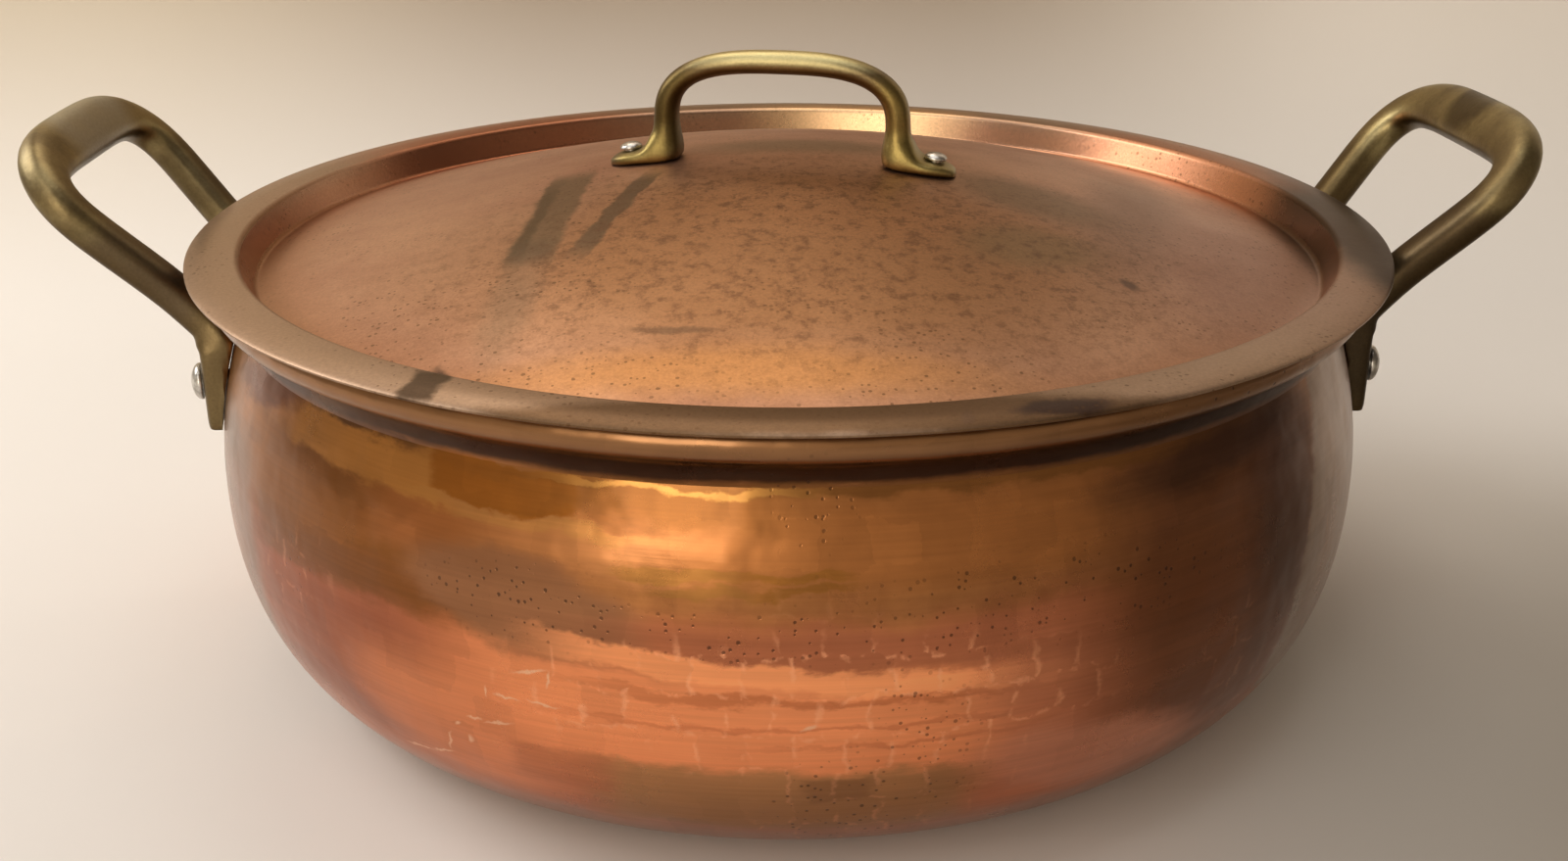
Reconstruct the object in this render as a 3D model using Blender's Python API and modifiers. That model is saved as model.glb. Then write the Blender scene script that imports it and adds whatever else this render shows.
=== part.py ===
import math

import bmesh
import bpy
from mathutils import Vector

# A low, bellied copper casserole with two cast brass loop handles and a domed, sunk lid.
# Metres, +Z up. The base stands on z = 0 and +X runs through the right handle.

# Copper of the pot
RIM_HEIGHT = 0.1094
BELLY_RADIUS = 0.1462
BELLY_HEIGHT = 0.0552
BILGE_INSET = 0.0436
BASE_RADIUS = BELLY_RADIUS - BILGE_INSET
BILGE_ROUNDNESS = 2.28
NECK_INSET = 0.0078
NECK_RADIUS = BELLY_RADIUS - NECK_INSET
NECK_DROP = 0.0150
NECK_HEIGHT = RIM_HEIGHT - NECK_DROP
MOUTH_FLARE = 0.0003
MOUTH_RADIUS = NECK_RADIUS + MOUTH_FLARE
MOUTH_DROP = 0.0018
MOUTH_HEIGHT = RIM_HEIGHT - MOUTH_DROP
LIP_FLARE = 0.0074
LIP_RADIUS = NECK_RADIUS + LIP_FLARE
LIP_ROLL = 0.0039
LIP_SEAT = 0.0005
LIP_TOP = RIM_HEIGHT - LIP_SEAT
LIP_START = math.radians(110)
LIP_END = math.radians(-85)
THROAT_DROP = 0.0107
THROAT_HEIGHT = RIM_HEIGHT - THROAT_DROP
THROAT_FLARE = 0.0015
THROAT_RADIUS = NECK_RADIUS + THROAT_FLARE
POT_WALL = 0.0018

# Copper of the lid, with heights counted from the edge of its flange
LID_OVERHANG = 0.0042
LID_RADIUS = LIP_RADIUS + LID_OVERHANG
LID_SHEET = 0.0013
FLANGE_TOP = 0.0015
FLANGE_FALL = 0.0007
COLLAR_PLAY = 0.0017
CREST_RADIUS = MOUTH_RADIUS - COLLAR_PLAY
CREST_ROUND = 0.0018
COLLAR_FLARE = 0.0036
GUTTER_RADIUS = CREST_RADIUS - COLLAR_FLARE
GUTTER_DEPTH = 0.0064
GUTTER_ROUND = 0.0014
CORNER_LEAN = math.radians(12)
DOME_TOP = 0.0176
DOME_POWER = 1.6
LID_TURN = math.radians(-13.45)

# Tin lining, and the clearance between neighbours
TIN = 0.0004
GAP = 0.0003

# Side handles: a loop in a plane that rises outwards, on two upright feet
LOOP_TILT = math.radians(48.4)
LOOP_DROP = 0.0138
LOOP_START_HEIGHT = RIM_HEIGHT - LOOP_DROP
LOOP_SETBACK = 0.0033
LOOP_REACH = 0.0503
LOOP_STRAIGHT = 0.0220
LOOP_HALF_WIDTH = 0.0380
LOOP_SQUARENESS = 4.0
ARM_WIDTH = 0.0108
ARM_DEPTH = 0.0092
ARM_SQUARENESS = 2.6
GRIP_WIDTH = 0.0145
GRIP_DEPTH = 0.0088
FOOT_SPREAD = 0.0300
FOOT_THICKNESS = 0.0057
FOOT_WIDTH = 0.0130
FOOT_DEPTH = 0.0100
FOOT_DROP = 0.0428
FOOT_BOTTOM = RIM_HEIGHT - FOOT_DROP
FOOT_BEND = 0.0110
FOOT_SQUARENESS = 5.0
TOE_HEIGHT = 0.0030
TOE_SHARE = 0.80
HANDLE_TURNS = {"right": math.radians(0.78), "left": math.radians(179.22)}

# Rivets of the side handles
RIVET_DROP = 0.0314
RIVET_HEIGHT = RIM_HEIGHT - RIVET_DROP
RIVET_HEAD_RADIUS = 0.0046
RIVET_HEAD_HEIGHT = 0.0026
RIVET_SHANK_RADIUS = 0.0025
RIVET_CLENCH_RADIUS = 0.0042
RIVET_CLENCH_HEIGHT = 0.0012

# Bow of the lid, with heights counted from the edge of the lid's flange
BOW_SHIFT = -0.0019
BOW_HALF_WIDTH = 0.0300
BOW_TOP = 0.0410
BOW_SPRING = 0.0250
BOW_SQUARENESS = 2.8
BOW_SECTION = 2.3
BOW_GRIP_WIDTH = 0.0078
BOW_GRIP_DEPTH = 0.0060
BOW_LEG_WIDTH = 0.0088
BOW_LEG_DEPTH = 0.0064
BOW_ANKLE_HEIGHT = 0.0072
BOW_ANKLE_WIDTH = 0.0099
BOW_ANKLE_DEPTH = 0.0072
BOW_HEEL = 0.0296
BOW_HEEL_HEIGHT = 0.0026
BOW_HEEL_DEPTH = 0.0122
BOW_HEEL_PITCH = math.radians(50)
BOW_INSTEP = 0.0052
BOW_FOOT_TIP = 0.0450
BOW_FOOT_WIDTH = 0.0126
BOW_FOOT_DEPTH = 0.0034
BOW_FOOT_SQUARENESS = 3.0
BOW_TIP_ROUND = 0.0040

# Rivets of the bow
BOW_RIVET_SPREAD = 0.0392
LID_RIVET_HEAD_RADIUS = 0.0029
LID_RIVET_HEAD_HEIGHT = 0.0016
LID_RIVET_SHANK_RADIUS = 0.0016
LID_RIVET_CLENCH_RADIUS = 0.0027
LID_RIVET_CLENCH_HEIGHT = 0.0008
CLENCH_BEVEL = 0.3

# Fineness
TURN_STEPS = 48
RIVET_STEPS = 12
NECK_STEPS = 4
BILGE_STEPS = 7
MOUTH_STEPS = 3
LIP_STEPS = 7
DOME_STEPS = 6
CORNER_STEPS = 2
BEND_STEPS = 4
LOOP_STEPS = 8
BOW_STEPS = 6
LOFT_SIDES = 10
MERGE = 0.00002
SHARP_ANGLE = math.radians(38)


def clear_scene():
    for item in list(bpy.data.objects):
        bpy.data.objects.remove(item, do_unlink=True)


def new_collection(name):
    found = bpy.data.collections.new(name)
    bpy.context.scene.collection.children.link(found)
    return found


def new_material(name, colour, roughness, metallic):
    made = bpy.data.materials.new(name)
    made.use_nodes = True
    shader = made.node_tree.nodes["Principled BSDF"]
    shader.inputs["Base Color"].default_value = (*colour, 1.0)
    shader.inputs["Roughness"].default_value = roughness
    shader.inputs["Metallic"].default_value = metallic
    made.diffuse_color = (*colour, 1.0)
    return made


def copper_material(name):
    return new_material(name, (0.55, 0.24, 0.13), 0.38, 1.0)


def tin_material(name):
    return new_material(name, (0.62, 0.62, 0.60), 0.35, 1.0)


def brass_material(name):
    return new_material(name, (0.40, 0.29, 0.10), 0.40, 1.0)


def rivet_material(name):
    return new_material(name, (0.66, 0.66, 0.66), 0.30, 1.0)


def new_object(name, mesh, home, material=None, parent=None):
    made = bpy.data.objects.new(name, mesh)
    home.objects.link(made)
    if material:
        mesh.materials.append(material)
    if parent:
        made.parent = parent
    return made


def hide_cutter(tool):
    tool.hide_render = True
    tool.display_type = "WIRE"
    return tool


def blend(start, end, share):
    return start + (end - start) * share


def ease(share):
    share = min(max(share, 0.0), 1.0)
    return share * share * (3.0 - 2.0 * share)


def arc(centre, size, start, end, steps):
    """Points of a round corner, with angles counted from straight outwards."""
    angles = [blend(start, end, step / steps) for step in range(steps + 1)]
    return [(centre[0] + size * math.cos(angle), centre[1] + size * math.sin(angle)) for angle in angles]


def offset_path(path, distance):
    """Path of radius and height points, moved to the right of its direction."""
    moved = []
    for index, (radius, height) in enumerate(path):
        normals = []
        for first in (index - 1, index):
            if 0 <= first < len(path) - 1:
                along_radius = path[first + 1][0] - path[first][0]
                along_height = path[first + 1][1] - path[first][1]
                length = math.hypot(along_radius, along_height)
                normals.append(Vector((along_height / length, -along_radius / length)))
        normal = sum(normals, Vector((0.0, 0.0))).normalized()
        reach = distance / normal.dot(normals[0])
        if radius == 0.0:
            moved.append((0.0, height + math.copysign(reach, normal.y * reach)))
        else:
            moved.append((radius + normal.x * reach, height + normal.y * reach))
    return moved


def turned_mesh(name, profile):
    mesh = bpy.data.meshes.new(name)
    edges = [(index, index + 1) for index in range(len(profile) - 1)]
    mesh.from_pydata([(radius, 0.0, height) for radius, height in profile], edges, [])
    return mesh


def turn(item, steps):
    screw = item.modifiers.new("Turn", "SCREW")
    screw.axis = "Z"
    screw.angle = math.tau
    screw.steps = steps
    screw.render_steps = steps
    screw.use_merge_vertices = True
    screw.merge_threshold = MERGE
    screw.use_smooth_shade = True
    return item


def turned(name, profile, home, steps=TURN_STEPS, material=None, parent=None):
    return turn(new_object(name, turned_mesh(name, profile), home, material, parent), steps)


def loft_mesh(name, stations):
    """Closed skin over stations: centre, width axis, depth axis, width, depth, squareness."""
    work = bmesh.new()
    rings = []
    for centre, across, through, width, depth, squareness in stations:
        ring = []
        for side in range(LOFT_SIDES):
            angle = math.tau * (side + 0.5) / LOFT_SIDES
            wide = math.copysign(abs(math.cos(angle)) ** (2.0 / squareness), math.cos(angle))
            deep = math.copysign(abs(math.sin(angle)) ** (2.0 / squareness), math.sin(angle))
            ring.append(work.verts.new(centre + across * (wide * width / 2) + through * (deep * depth / 2)))
        rings.append(ring)
    for first, second in zip(rings, rings[1:]):
        for side in range(LOFT_SIDES):
            following = (side + 1) % LOFT_SIDES
            work.faces.new((first[side], first[following], second[following], second[side]))
    work.faces.new(rings[0])
    work.faces.new(rings[-1])
    bmesh.ops.recalc_face_normals(work, faces=work.faces)
    mesh = bpy.data.meshes.new(name)
    work.to_mesh(mesh)
    work.free()
    mesh.shade_smooth()
    mesh.set_sharp_from_angle(angle=SHARP_ANGLE)
    return mesh


def combine(item, tool, operation="DIFFERENCE"):
    step = item.modifiers.new(operation.title(), "BOOLEAN")
    step.operation = operation
    step.object = tool
    step.solver = "EXACT"


def rod(name, radius, start, end, home):
    """Round rod between two points, as a tool for holes."""
    work = bmesh.new()
    axis = end - start
    bmesh.ops.create_cone(work, cap_ends=True, segments=RIVET_STEPS, radius1=radius, radius2=radius,
                          depth=axis.length)
    mesh = bpy.data.meshes.new(name)
    work.to_mesh(mesh)
    work.free()
    made = new_object(name, mesh, home)
    made.location = (start + end) / 2
    made.rotation_euler = axis.to_track_quat("Z", "Y").to_euler()
    return hide_cutter(made)


def radial(angle):
    return Vector((math.cos(angle), math.sin(angle), 0.0))


def wall_radius(height):
    """Outer radius of the pot between the belly and the neck."""
    share = (height - BELLY_HEIGHT) / (NECK_HEIGHT - BELLY_HEIGHT)
    return BELLY_RADIUS - (BELLY_RADIUS - NECK_RADIUS) * share ** 2


def foot_face():
    """Radius of the feet's outer faces, where the rivet heads sit."""
    return wall_radius(RIVET_HEIGHT) + FOOT_THICKNESS


def foot_turn():
    """Angle between a foot and the middle of its handle."""
    return math.asin(FOOT_SPREAD / foot_face())


def outer_wall():
    """Neck, belly and bilge, from the neck down to the edge of the base."""
    path = []
    for step in range(NECK_STEPS):
        height = blend(NECK_HEIGHT, BELLY_HEIGHT, step / NECK_STEPS)
        path.append((wall_radius(height), height))
    power = 2.0 / BILGE_ROUNDNESS
    for step in range(BILGE_STEPS + 1):
        angle = math.pi / 2 * step / BILGE_STEPS
        radius = blend(BASE_RADIUS, BELLY_RADIUS, max(math.cos(angle), 0.0) ** power)
        path.append((radius, BELLY_HEIGHT * (1.0 - math.sin(angle) ** power)))
    return path


def mouth():
    """Inner side of the flared mouth, from under the lip down to the neck."""
    path = []
    for step in range(MOUTH_STEPS):
        share = 1.0 - step / MOUTH_STEPS
        radius = blend(NECK_RADIUS - POT_WALL, MOUTH_RADIUS, ease(share))
        path.append((radius, blend(NECK_HEIGHT, MOUTH_HEIGHT, share)))
    return path


def rolled_lip():
    """The rolled edge, from the top of the mouth round to the throat under it."""
    centre = (LIP_RADIUS - LIP_ROLL, LIP_TOP - LIP_ROLL)
    return arc(centre, LIP_ROLL, LIP_START, LIP_END, LIP_STEPS) + [(THROAT_RADIUS, THROAT_HEIGHT)]


def inner_wall():
    """Inner side of the copper, from the mouth down to the middle of the floor."""
    return mouth() + offset_path(outer_wall() + [(0.0, 0.0)], POT_WALL)


def pot_body(home, holes):
    profile = inner_wall()[::-1] + rolled_lip() + outer_wall() + [(0.0, 0.0)]
    body = turned("pot_body", profile, home, material=copper_material("pot_copper"))
    combine(body, holes)


def pot_lining(home, holes):
    inside = inner_wall()[1:]
    profile = offset_path(inside, GAP + TIN)[::-1] + offset_path(inside, GAP)
    lining = turned("pot_lining", profile, home, material=tin_material("pot_tin"))
    combine(lining, holes)


def dome_height(radius):
    """Height of the lid's top side over the edge of its flange."""
    return DOME_TOP - (DOME_TOP + GUTTER_DEPTH) * (radius / GUTTER_RADIUS) ** DOME_POWER


def lid_top():
    """Top side of the lid: dome, gutter, collar and crest, from the middle outwards."""
    path = []
    for step in range(DOME_STEPS):
        radius = GUTTER_RADIUS * step / DOME_STEPS
        path.append((radius, dome_height(radius)))
    gutter = (GUTTER_RADIUS, GUTTER_ROUND - GUTTER_DEPTH)
    crest = (CREST_RADIUS + CREST_ROUND, FLANGE_TOP - CREST_ROUND)
    path += arc(gutter, GUTTER_ROUND, -math.pi / 2, -CORNER_LEAN, CORNER_STEPS)
    return path + arc(crest, CREST_ROUND, math.pi - CORNER_LEAN, math.pi / 2, CORNER_STEPS)


def flange():
    """Top side of the flange, from the crest to its edge."""
    middle = blend(CREST_RADIUS, LID_RADIUS, 0.5)
    return [
        (middle, FLANGE_TOP - FLANGE_FALL * 0.2),
        (LID_RADIUS - LID_SHEET / 2, FLANGE_TOP - FLANGE_FALL),
    ]


def lid_shell(home, parent, holes):
    top = lid_top() + flange()
    edge_top = FLANGE_TOP - FLANGE_FALL - LID_SHEET * 0.35
    edge = [(LID_RADIUS, edge_top), (LID_RADIUS, edge_top - LID_SHEET * 0.3)]
    underside = offset_path(top, LID_SHEET)[::-1]
    profile = top + edge + underside
    shell = turned("lid_shell", profile, home, TURN_STEPS, copper_material("lid_copper"), parent)
    combine(shell, holes)


def lid_lining(home, parent, holes):
    top = lid_top()[:-2]
    profile = offset_path(top, LID_SHEET + GAP) + offset_path(top, LID_SHEET + GAP + TIN)[::-1]
    lining = turned("lid_lining", profile, home, TURN_STEPS, tin_material("lid_tin"), parent)
    combine(lining, holes)


def foot_stations():
    """One upright foot of a side handle, from its bottom up to the start of the arm."""
    outward = radial(foot_turn())
    foot = outward * (foot_face() - FOOT_DEPTH / 2)
    bend_angle = math.pi / 2 - LOOP_TILT
    bend_out = foot.x + FOOT_BEND * (1.0 - math.cos(bend_angle))
    loop_start = foot_face() - LOOP_SETBACK
    bend_end = LOOP_START_HEIGHT + (bend_out - loop_start) * math.tan(LOOP_TILT)
    bend_start = bend_end - FOOT_BEND * math.sin(bend_angle)
    stations = []
    for share in (0.0, 0.4, 1.0):
        size = blend(TOE_SHARE, 1.0, math.sqrt(share))
        centre = Vector((foot.x, foot.y, FOOT_BOTTOM + TOE_HEIGHT * share))
        stations.append((centre, outward, FOOT_WIDTH * size, FOOT_DEPTH * size, FOOT_SQUARENESS))
    for step in range(BEND_STEPS + 1):
        share = step / BEND_STEPS
        angle = bend_angle * share
        centre = Vector((foot.x + FOOT_BEND * (1.0 - math.cos(angle)), foot.y,
                         bend_start + FOOT_BEND * math.sin(angle)))
        facing = Vector((math.cos(angle), 0.0, -math.sin(angle)))
        facing = outward.lerp(facing, ease(2.0 * share)).normalized()
        width = blend(FOOT_WIDTH, ARM_WIDTH, ease(share))
        depth = blend(FOOT_DEPTH, ARM_DEPTH, ease(share))
        squareness = blend(FOOT_SQUARENESS, ARM_SQUARENESS, ease(share))
        stations.append((centre, facing, width, depth, squareness))
    return stations


def loop_stations():
    """Half of the loop, from the start of an arm round to the middle of the grip."""
    rise = Vector((math.cos(LOOP_TILT), 0.0, math.sin(LOOP_TILT)))
    facing = Vector((math.sin(LOOP_TILT), 0.0, -math.cos(LOOP_TILT)))
    start = Vector((foot_face() - LOOP_SETBACK, 0.0, LOOP_START_HEIGHT))
    foot_side = FOOT_SPREAD * (1.0 - FOOT_DEPTH / 2 / foot_face())
    places = [(LOOP_STRAIGHT * share, 0.0) for share in (0.33, 0.67)]
    for step in range(LOOP_STEPS + 1):
        angle = math.pi / 2 * step / LOOP_STEPS
        reach = blend(LOOP_STRAIGHT, LOOP_REACH, math.sin(angle) ** (2.0 / LOOP_SQUARENESS))
        places.append((reach, angle))
    stations = []
    for reach, angle in places:
        spread = blend(foot_side, LOOP_HALF_WIDTH, ease(reach / LOOP_REACH * 1.2))
        side = spread * max(math.cos(angle), 0.0) ** (2.0 / LOOP_SQUARENESS)
        share = ease(angle / (math.pi / 2) * 1.4 - 0.4)
        width = blend(ARM_WIDTH, GRIP_WIDTH, share)
        depth = blend(ARM_DEPTH, GRIP_DEPTH, share)
        centre = start + rise * reach + Vector((0.0, side, 0.0))
        stations.append((centre, facing, width, depth, ARM_SQUARENESS))
    return stations


def complete_stations(half):
    """Both halves of a handle that is symmetric about y = 0, with their width axes."""
    flip = Vector((1.0, -1.0, 1.0))
    other = [(centre * flip, facing * flip, *sizes) for centre, facing, *sizes in half[-2::-1]]
    stations = half + other
    finished = []
    for index, (centre, facing, width, depth, squareness) in enumerate(stations):
        before = stations[max(index - 1, 0)][0]
        after = stations[min(index + 1, len(stations) - 1)][0]
        along = (after - before).normalized()
        across = along.cross(facing).normalized()
        through = across.cross(along)
        finished.append((centre, across, through, width, depth, squareness))
    return finished


def side_handle(name, turn_angle, mesh, home, wall_tool, holes):
    handle = new_object(name, mesh, home)
    handle.rotation_euler.z = turn_angle
    combine(handle, wall_tool)
    combine(handle, holes)


def side_handles(home, wall_tool, holes):
    mesh = loft_mesh("side_handle", complete_stations(foot_stations() + loop_stations()))
    mesh.materials.append(brass_material("handle_brass"))
    for side, turn_angle in HANDLE_TURNS.items():
        side_handle(side + "_handle", turn_angle, mesh, home, wall_tool, holes)


def head_profile(radius, height, shank, base, end):
    """Domed head over a shank that ends on the axis: heights count along the rivet."""
    return [
        (0.0, base + height),
        (radius * 0.50, base + height * 0.88),
        (radius * 0.85, base + height * 0.50),
        (radius, base + height * 0.12),
        (radius * 0.97, base),
        (shank, base),
        (shank, end),
        (0.0, end),
    ]


def side_rivet_places():
    """Direction of each rivet from the middle of the pot."""
    return {
        "rivet_right_front": HANDLE_TURNS["right"] - foot_turn(),
        "rivet_right_rear": HANDLE_TURNS["right"] + foot_turn(),
        "rivet_left_front": HANDLE_TURNS["left"] + foot_turn(),
        "rivet_left_rear": HANDLE_TURNS["left"] - foot_turn(),
    }


def side_rivets(home, guides):
    """Four rivets through the feet, with clenched ends that follow the lining."""
    inside = wall_radius(RIVET_HEIGHT) - POT_WALL - GAP - TIN
    lining_face = offset_path(outer_wall(), POT_WALL + 2 * GAP + TIN)
    shell = lining_face[::-1] + [(LID_RADIUS, NECK_HEIGHT), (LID_RADIUS, 0.0), (BASE_RADIUS, 0.0)]
    shell_tool = hide_cutter(turned("wall_zone", shell, guides))
    profile = head_profile(RIVET_HEAD_RADIUS, RIVET_HEAD_HEIGHT, RIVET_SHANK_RADIUS,
                           foot_face() + GAP, inside - RIVET_CLENCH_HEIGHT / 2)
    for name, angle in side_rivet_places().items():
        centre = radial(angle) * inside + Vector((0.0, 0.0, RIVET_HEIGHT))
        inner_end = centre - radial(angle) * RIVET_CLENCH_HEIGHT * (1.0 + CLENCH_BEVEL)
        clench = rod(name, RIVET_CLENCH_RADIUS, inner_end, centre + radial(angle) * POT_WALL, home)
        clench.hide_render = False
        clench.display_type = "TEXTURED"
        clench.data.materials.append(rivet_material(name + "_metal"))
        combine(clench, shell_tool)
        shank = turned(name + "_shank", profile, guides, RIVET_STEPS)
        shank.location.z = RIVET_HEIGHT
        shank.rotation_euler = (0.0, math.pi / 2, angle)
        combine(clench, hide_cutter(shank), "UNION")


def dome_slope(radius):
    """Slope of the dome, as an angle below the horizontal."""
    fall = (DOME_TOP + GUTTER_DEPTH) * DOME_POWER / GUTTER_RADIUS
    return math.atan(fall * (radius / GUTTER_RADIUS) ** (DOME_POWER - 1.0))


def bow_rivet_seat(side):
    """Point of the dome under a rivet of the bow, and the slope there."""
    radius = BOW_RIVET_SPREAD + side * BOW_SHIFT
    return Vector((side * radius, 0.0, dome_height(radius))), dome_slope(radius)


def bow_stations(side):
    """Half of the bow, from the tip of a foot up the leg to the middle of the grip."""
    shift = side * BOW_SHIFT
    sole = BOW_FOOT_DEPTH / 2 - GAP
    rows = [
        (BOW_FOOT_TIP, sole * 0.5, 0.0, 0.35, 0.6),
        (BOW_FOOT_TIP - BOW_TIP_ROUND * 0.3, sole * 0.8, 0.0, 0.62, 0.8),
        (BOW_FOOT_TIP - BOW_TIP_ROUND, sole, 0.0, 0.90, 1.1),
        (BOW_RIVET_SPREAD - LID_RIVET_SHANK_RADIUS, sole, 0.0, 1.0, 1.1),
        (BOW_HEEL + BOW_INSTEP, sole * 1.2, BOW_HEEL_PITCH / 4, 1.0, 1.4),
        (BOW_HEEL, BOW_HEEL_HEIGHT, BOW_HEEL_PITCH, 1.0, BOW_HEEL_DEPTH / BOW_FOOT_DEPTH),
    ]
    stations = []
    for place, rise, pitch, width, depth in rows:
        facing = Vector((math.sin(pitch), 0.0, math.cos(pitch)))
        centre = Vector((place, 0.0, dome_height(place + shift) + rise))
        sizes = (BOW_FOOT_WIDTH * width, BOW_FOOT_DEPTH * depth, BOW_FOOT_SQUARENESS)
        stations.append((centre, facing, *sizes))
    ankle = Vector((BOW_HALF_WIDTH, 0.0, dome_height(BOW_HEEL + shift) + BOW_ANKLE_HEIGHT))
    stations.append((ankle, Vector((1.0, 0.0, 0.0)), BOW_ANKLE_WIDTH, BOW_ANKLE_DEPTH, BOW_SECTION))
    power = 2.0 / BOW_SQUARENESS
    for step in range(BOW_STEPS + 1):
        angle = math.pi / 2 * step / BOW_STEPS
        place = BOW_HALF_WIDTH * max(math.cos(angle), 0.0) ** power
        height = blend(BOW_SPRING, BOW_TOP, math.sin(angle) ** power)
        facing = Vector((math.cos(angle), 0.0, math.sin(angle)))
        width = blend(BOW_LEG_WIDTH, BOW_GRIP_WIDTH, ease(angle))
        depth = blend(BOW_LEG_DEPTH, BOW_GRIP_DEPTH, ease(angle))
        stations.append((Vector((place, 0.0, height)), facing, width, depth, BOW_SECTION))
    return stations


def lid_handle(home, parent, dome_tool, holes):
    flip = Vector((-1.0, 1.0, 1.0))
    left = [(centre * flip, facing * flip, *sizes) for centre, facing, *sizes in bow_stations(-1.0)]
    stations = bow_stations(1.0) + left[-2::-1]
    side = Vector((0.0, 1.0, 0.0))
    finished = [(centre, side, facing, *sizes) for centre, facing, *sizes in stations]
    mesh = loft_mesh("lid_handle", finished)
    bow = new_object("lid_handle", mesh, home, brass_material("bow_brass"), parent)
    bow.location.x = BOW_SHIFT
    combine(bow, dome_tool)
    combine(bow, holes)


def lid_rivets(home, parent):
    seat = BOW_FOOT_DEPTH + GAP
    through = LID_SHEET + 2 * GAP + TIN
    profile = head_profile(LID_RIVET_HEAD_RADIUS, LID_RIVET_HEAD_HEIGHT, LID_RIVET_SHANK_RADIUS,
                           seat, -through)
    bottom = -through - LID_RIVET_CLENCH_HEIGHT
    clench = [
        (LID_RIVET_CLENCH_RADIUS, -through),
        (LID_RIVET_CLENCH_RADIUS, bottom + LID_RIVET_CLENCH_HEIGHT * CLENCH_BEVEL),
        (LID_RIVET_CLENCH_RADIUS * (1.0 - CLENCH_BEVEL), bottom),
        (0.0, bottom),
    ]
    for name, side in (("lid_rivet_left", -1.0), ("lid_rivet_right", 1.0)):
        material = rivet_material(name + "_metal")
        rivet = turned(name, profile[:-1] + clench, home, RIVET_STEPS, material, parent)
        rivet.location, slope = bow_rivet_seat(side)
        rivet.rotation_euler.y = side * slope


def wall_plug(guides):
    """Everything inside the pot's outer side, as the shape of the feet's backs."""
    skin = offset_path(outer_wall(), -GAP)
    profile = [(0.0, NECK_HEIGHT)] + skin + [(0.0, 0.0)]
    return hide_cutter(turned("wall_plug", profile, guides))


def dome_plug(guides, parent):
    """Everything under the dome, as the shape of the bow's soles."""
    skin = offset_path(lid_top()[:DOME_STEPS], -GAP)
    rim = skin[-1][0]
    profile = skin + [(rim, -GUTTER_DEPTH * 2), (0.0, -GUTTER_DEPTH * 2)]
    tool = hide_cutter(turned("dome_plug", profile, guides))
    tool.parent = parent
    return tool


def side_rivet_holes(guides):
    """A rod through the wall and the foot for each rivet of the side handles."""
    rods = []
    for name, angle in side_rivet_places().items():
        middle = radial(angle) * foot_face() + Vector((0.0, 0.0, RIVET_HEIGHT))
        axis = radial(angle) * FOOT_DEPTH * 2
        rods.append(rod(name + "_hole", RIVET_SHANK_RADIUS + GAP, middle - axis, middle + axis, guides))
    for other in rods[1:]:
        combine(rods[0], other, "UNION")
    return rods[0]


def lid_rivet_holes(guides, parent):
    rods = []
    for side in (-1.0, 1.0):
        middle, slope = bow_rivet_seat(side)
        axis = Vector((side * math.sin(slope), 0.0, math.cos(slope))) * BOW_FOOT_DEPTH * 3
        tool = rod("lid_hole", LID_RIVET_SHANK_RADIUS + GAP, middle - axis, middle + axis, guides)
        tool.parent = parent
        rods.append(tool)
    combine(rods[0], rods[1], "UNION")
    return rods[0]


def build():
    clear_scene()
    home = new_collection("copper_casserole")
    guides = new_collection("cutters")
    holes = side_rivet_holes(guides)
    pot_body(home, holes)
    pot_lining(home, holes)
    side_handles(home, wall_plug(guides), holes)
    side_rivets(home, guides)
    lid = bpy.data.objects.new("lid_seat", None)
    home.objects.link(lid)
    lid.location.z = RIM_HEIGHT
    lid.rotation_euler.z = LID_TURN
    lid_holes = lid_rivet_holes(guides, lid)
    lid_shell(home, lid, lid_holes)
    lid_lining(home, lid, lid_holes)
    lid_handle(home, lid, dome_plug(guides, lid), lid_holes)
    lid_rivets(home, lid)


build()
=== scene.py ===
import math

import bmesh
import bpy
from mathutils import Matrix, Vector


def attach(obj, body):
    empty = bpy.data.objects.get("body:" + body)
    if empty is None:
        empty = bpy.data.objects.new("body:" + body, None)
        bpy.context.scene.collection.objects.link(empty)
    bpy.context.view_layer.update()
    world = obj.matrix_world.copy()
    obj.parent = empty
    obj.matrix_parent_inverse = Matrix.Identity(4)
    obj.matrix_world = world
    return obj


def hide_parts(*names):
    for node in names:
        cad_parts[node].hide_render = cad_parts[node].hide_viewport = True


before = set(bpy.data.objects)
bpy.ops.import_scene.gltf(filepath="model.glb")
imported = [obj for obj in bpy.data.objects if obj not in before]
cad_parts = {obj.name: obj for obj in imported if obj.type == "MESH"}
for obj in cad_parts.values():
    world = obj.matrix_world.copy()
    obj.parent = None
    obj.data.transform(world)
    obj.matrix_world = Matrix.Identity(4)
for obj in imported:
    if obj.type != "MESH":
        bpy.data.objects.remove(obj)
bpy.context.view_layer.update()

# The room
# A pale, matt cloth is the floor and sweeps up behind the pot as the backdrop; right of the pot a
# painted shadow of the pot greys it. Soft light comes from the left, from above and from a window low
# in front, and the room is dim but for a glow round that window.


def linear(hex_colour):
    """Linear colour, with alpha, of an sRGB hex value."""
    parts = [int(hex_colour[place:place + 2], 16) / 255 for place in (1, 3, 5)]
    return *(part / 12.92 if part <= 0.04045 else ((part + 0.055) / 1.055) ** 2.4 for part in parts), 1.0


def feed(node, inputs):
    """Sets a node's inputs, by name or in their order, to numbers, hex colours, sockets or nodes."""
    for name, value in inputs.items() if isinstance(inputs, dict) else enumerate(inputs):
        if isinstance(value, bpy.types.Node):
            value = next(output for output in value.outputs if output.enabled)
        if isinstance(value, bpy.types.NodeSocket):
            node.id_data.links.new(value, node.inputs[name])
        else:
            node.inputs[name].default_value = linear(value) if isinstance(value, str) else value


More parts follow.
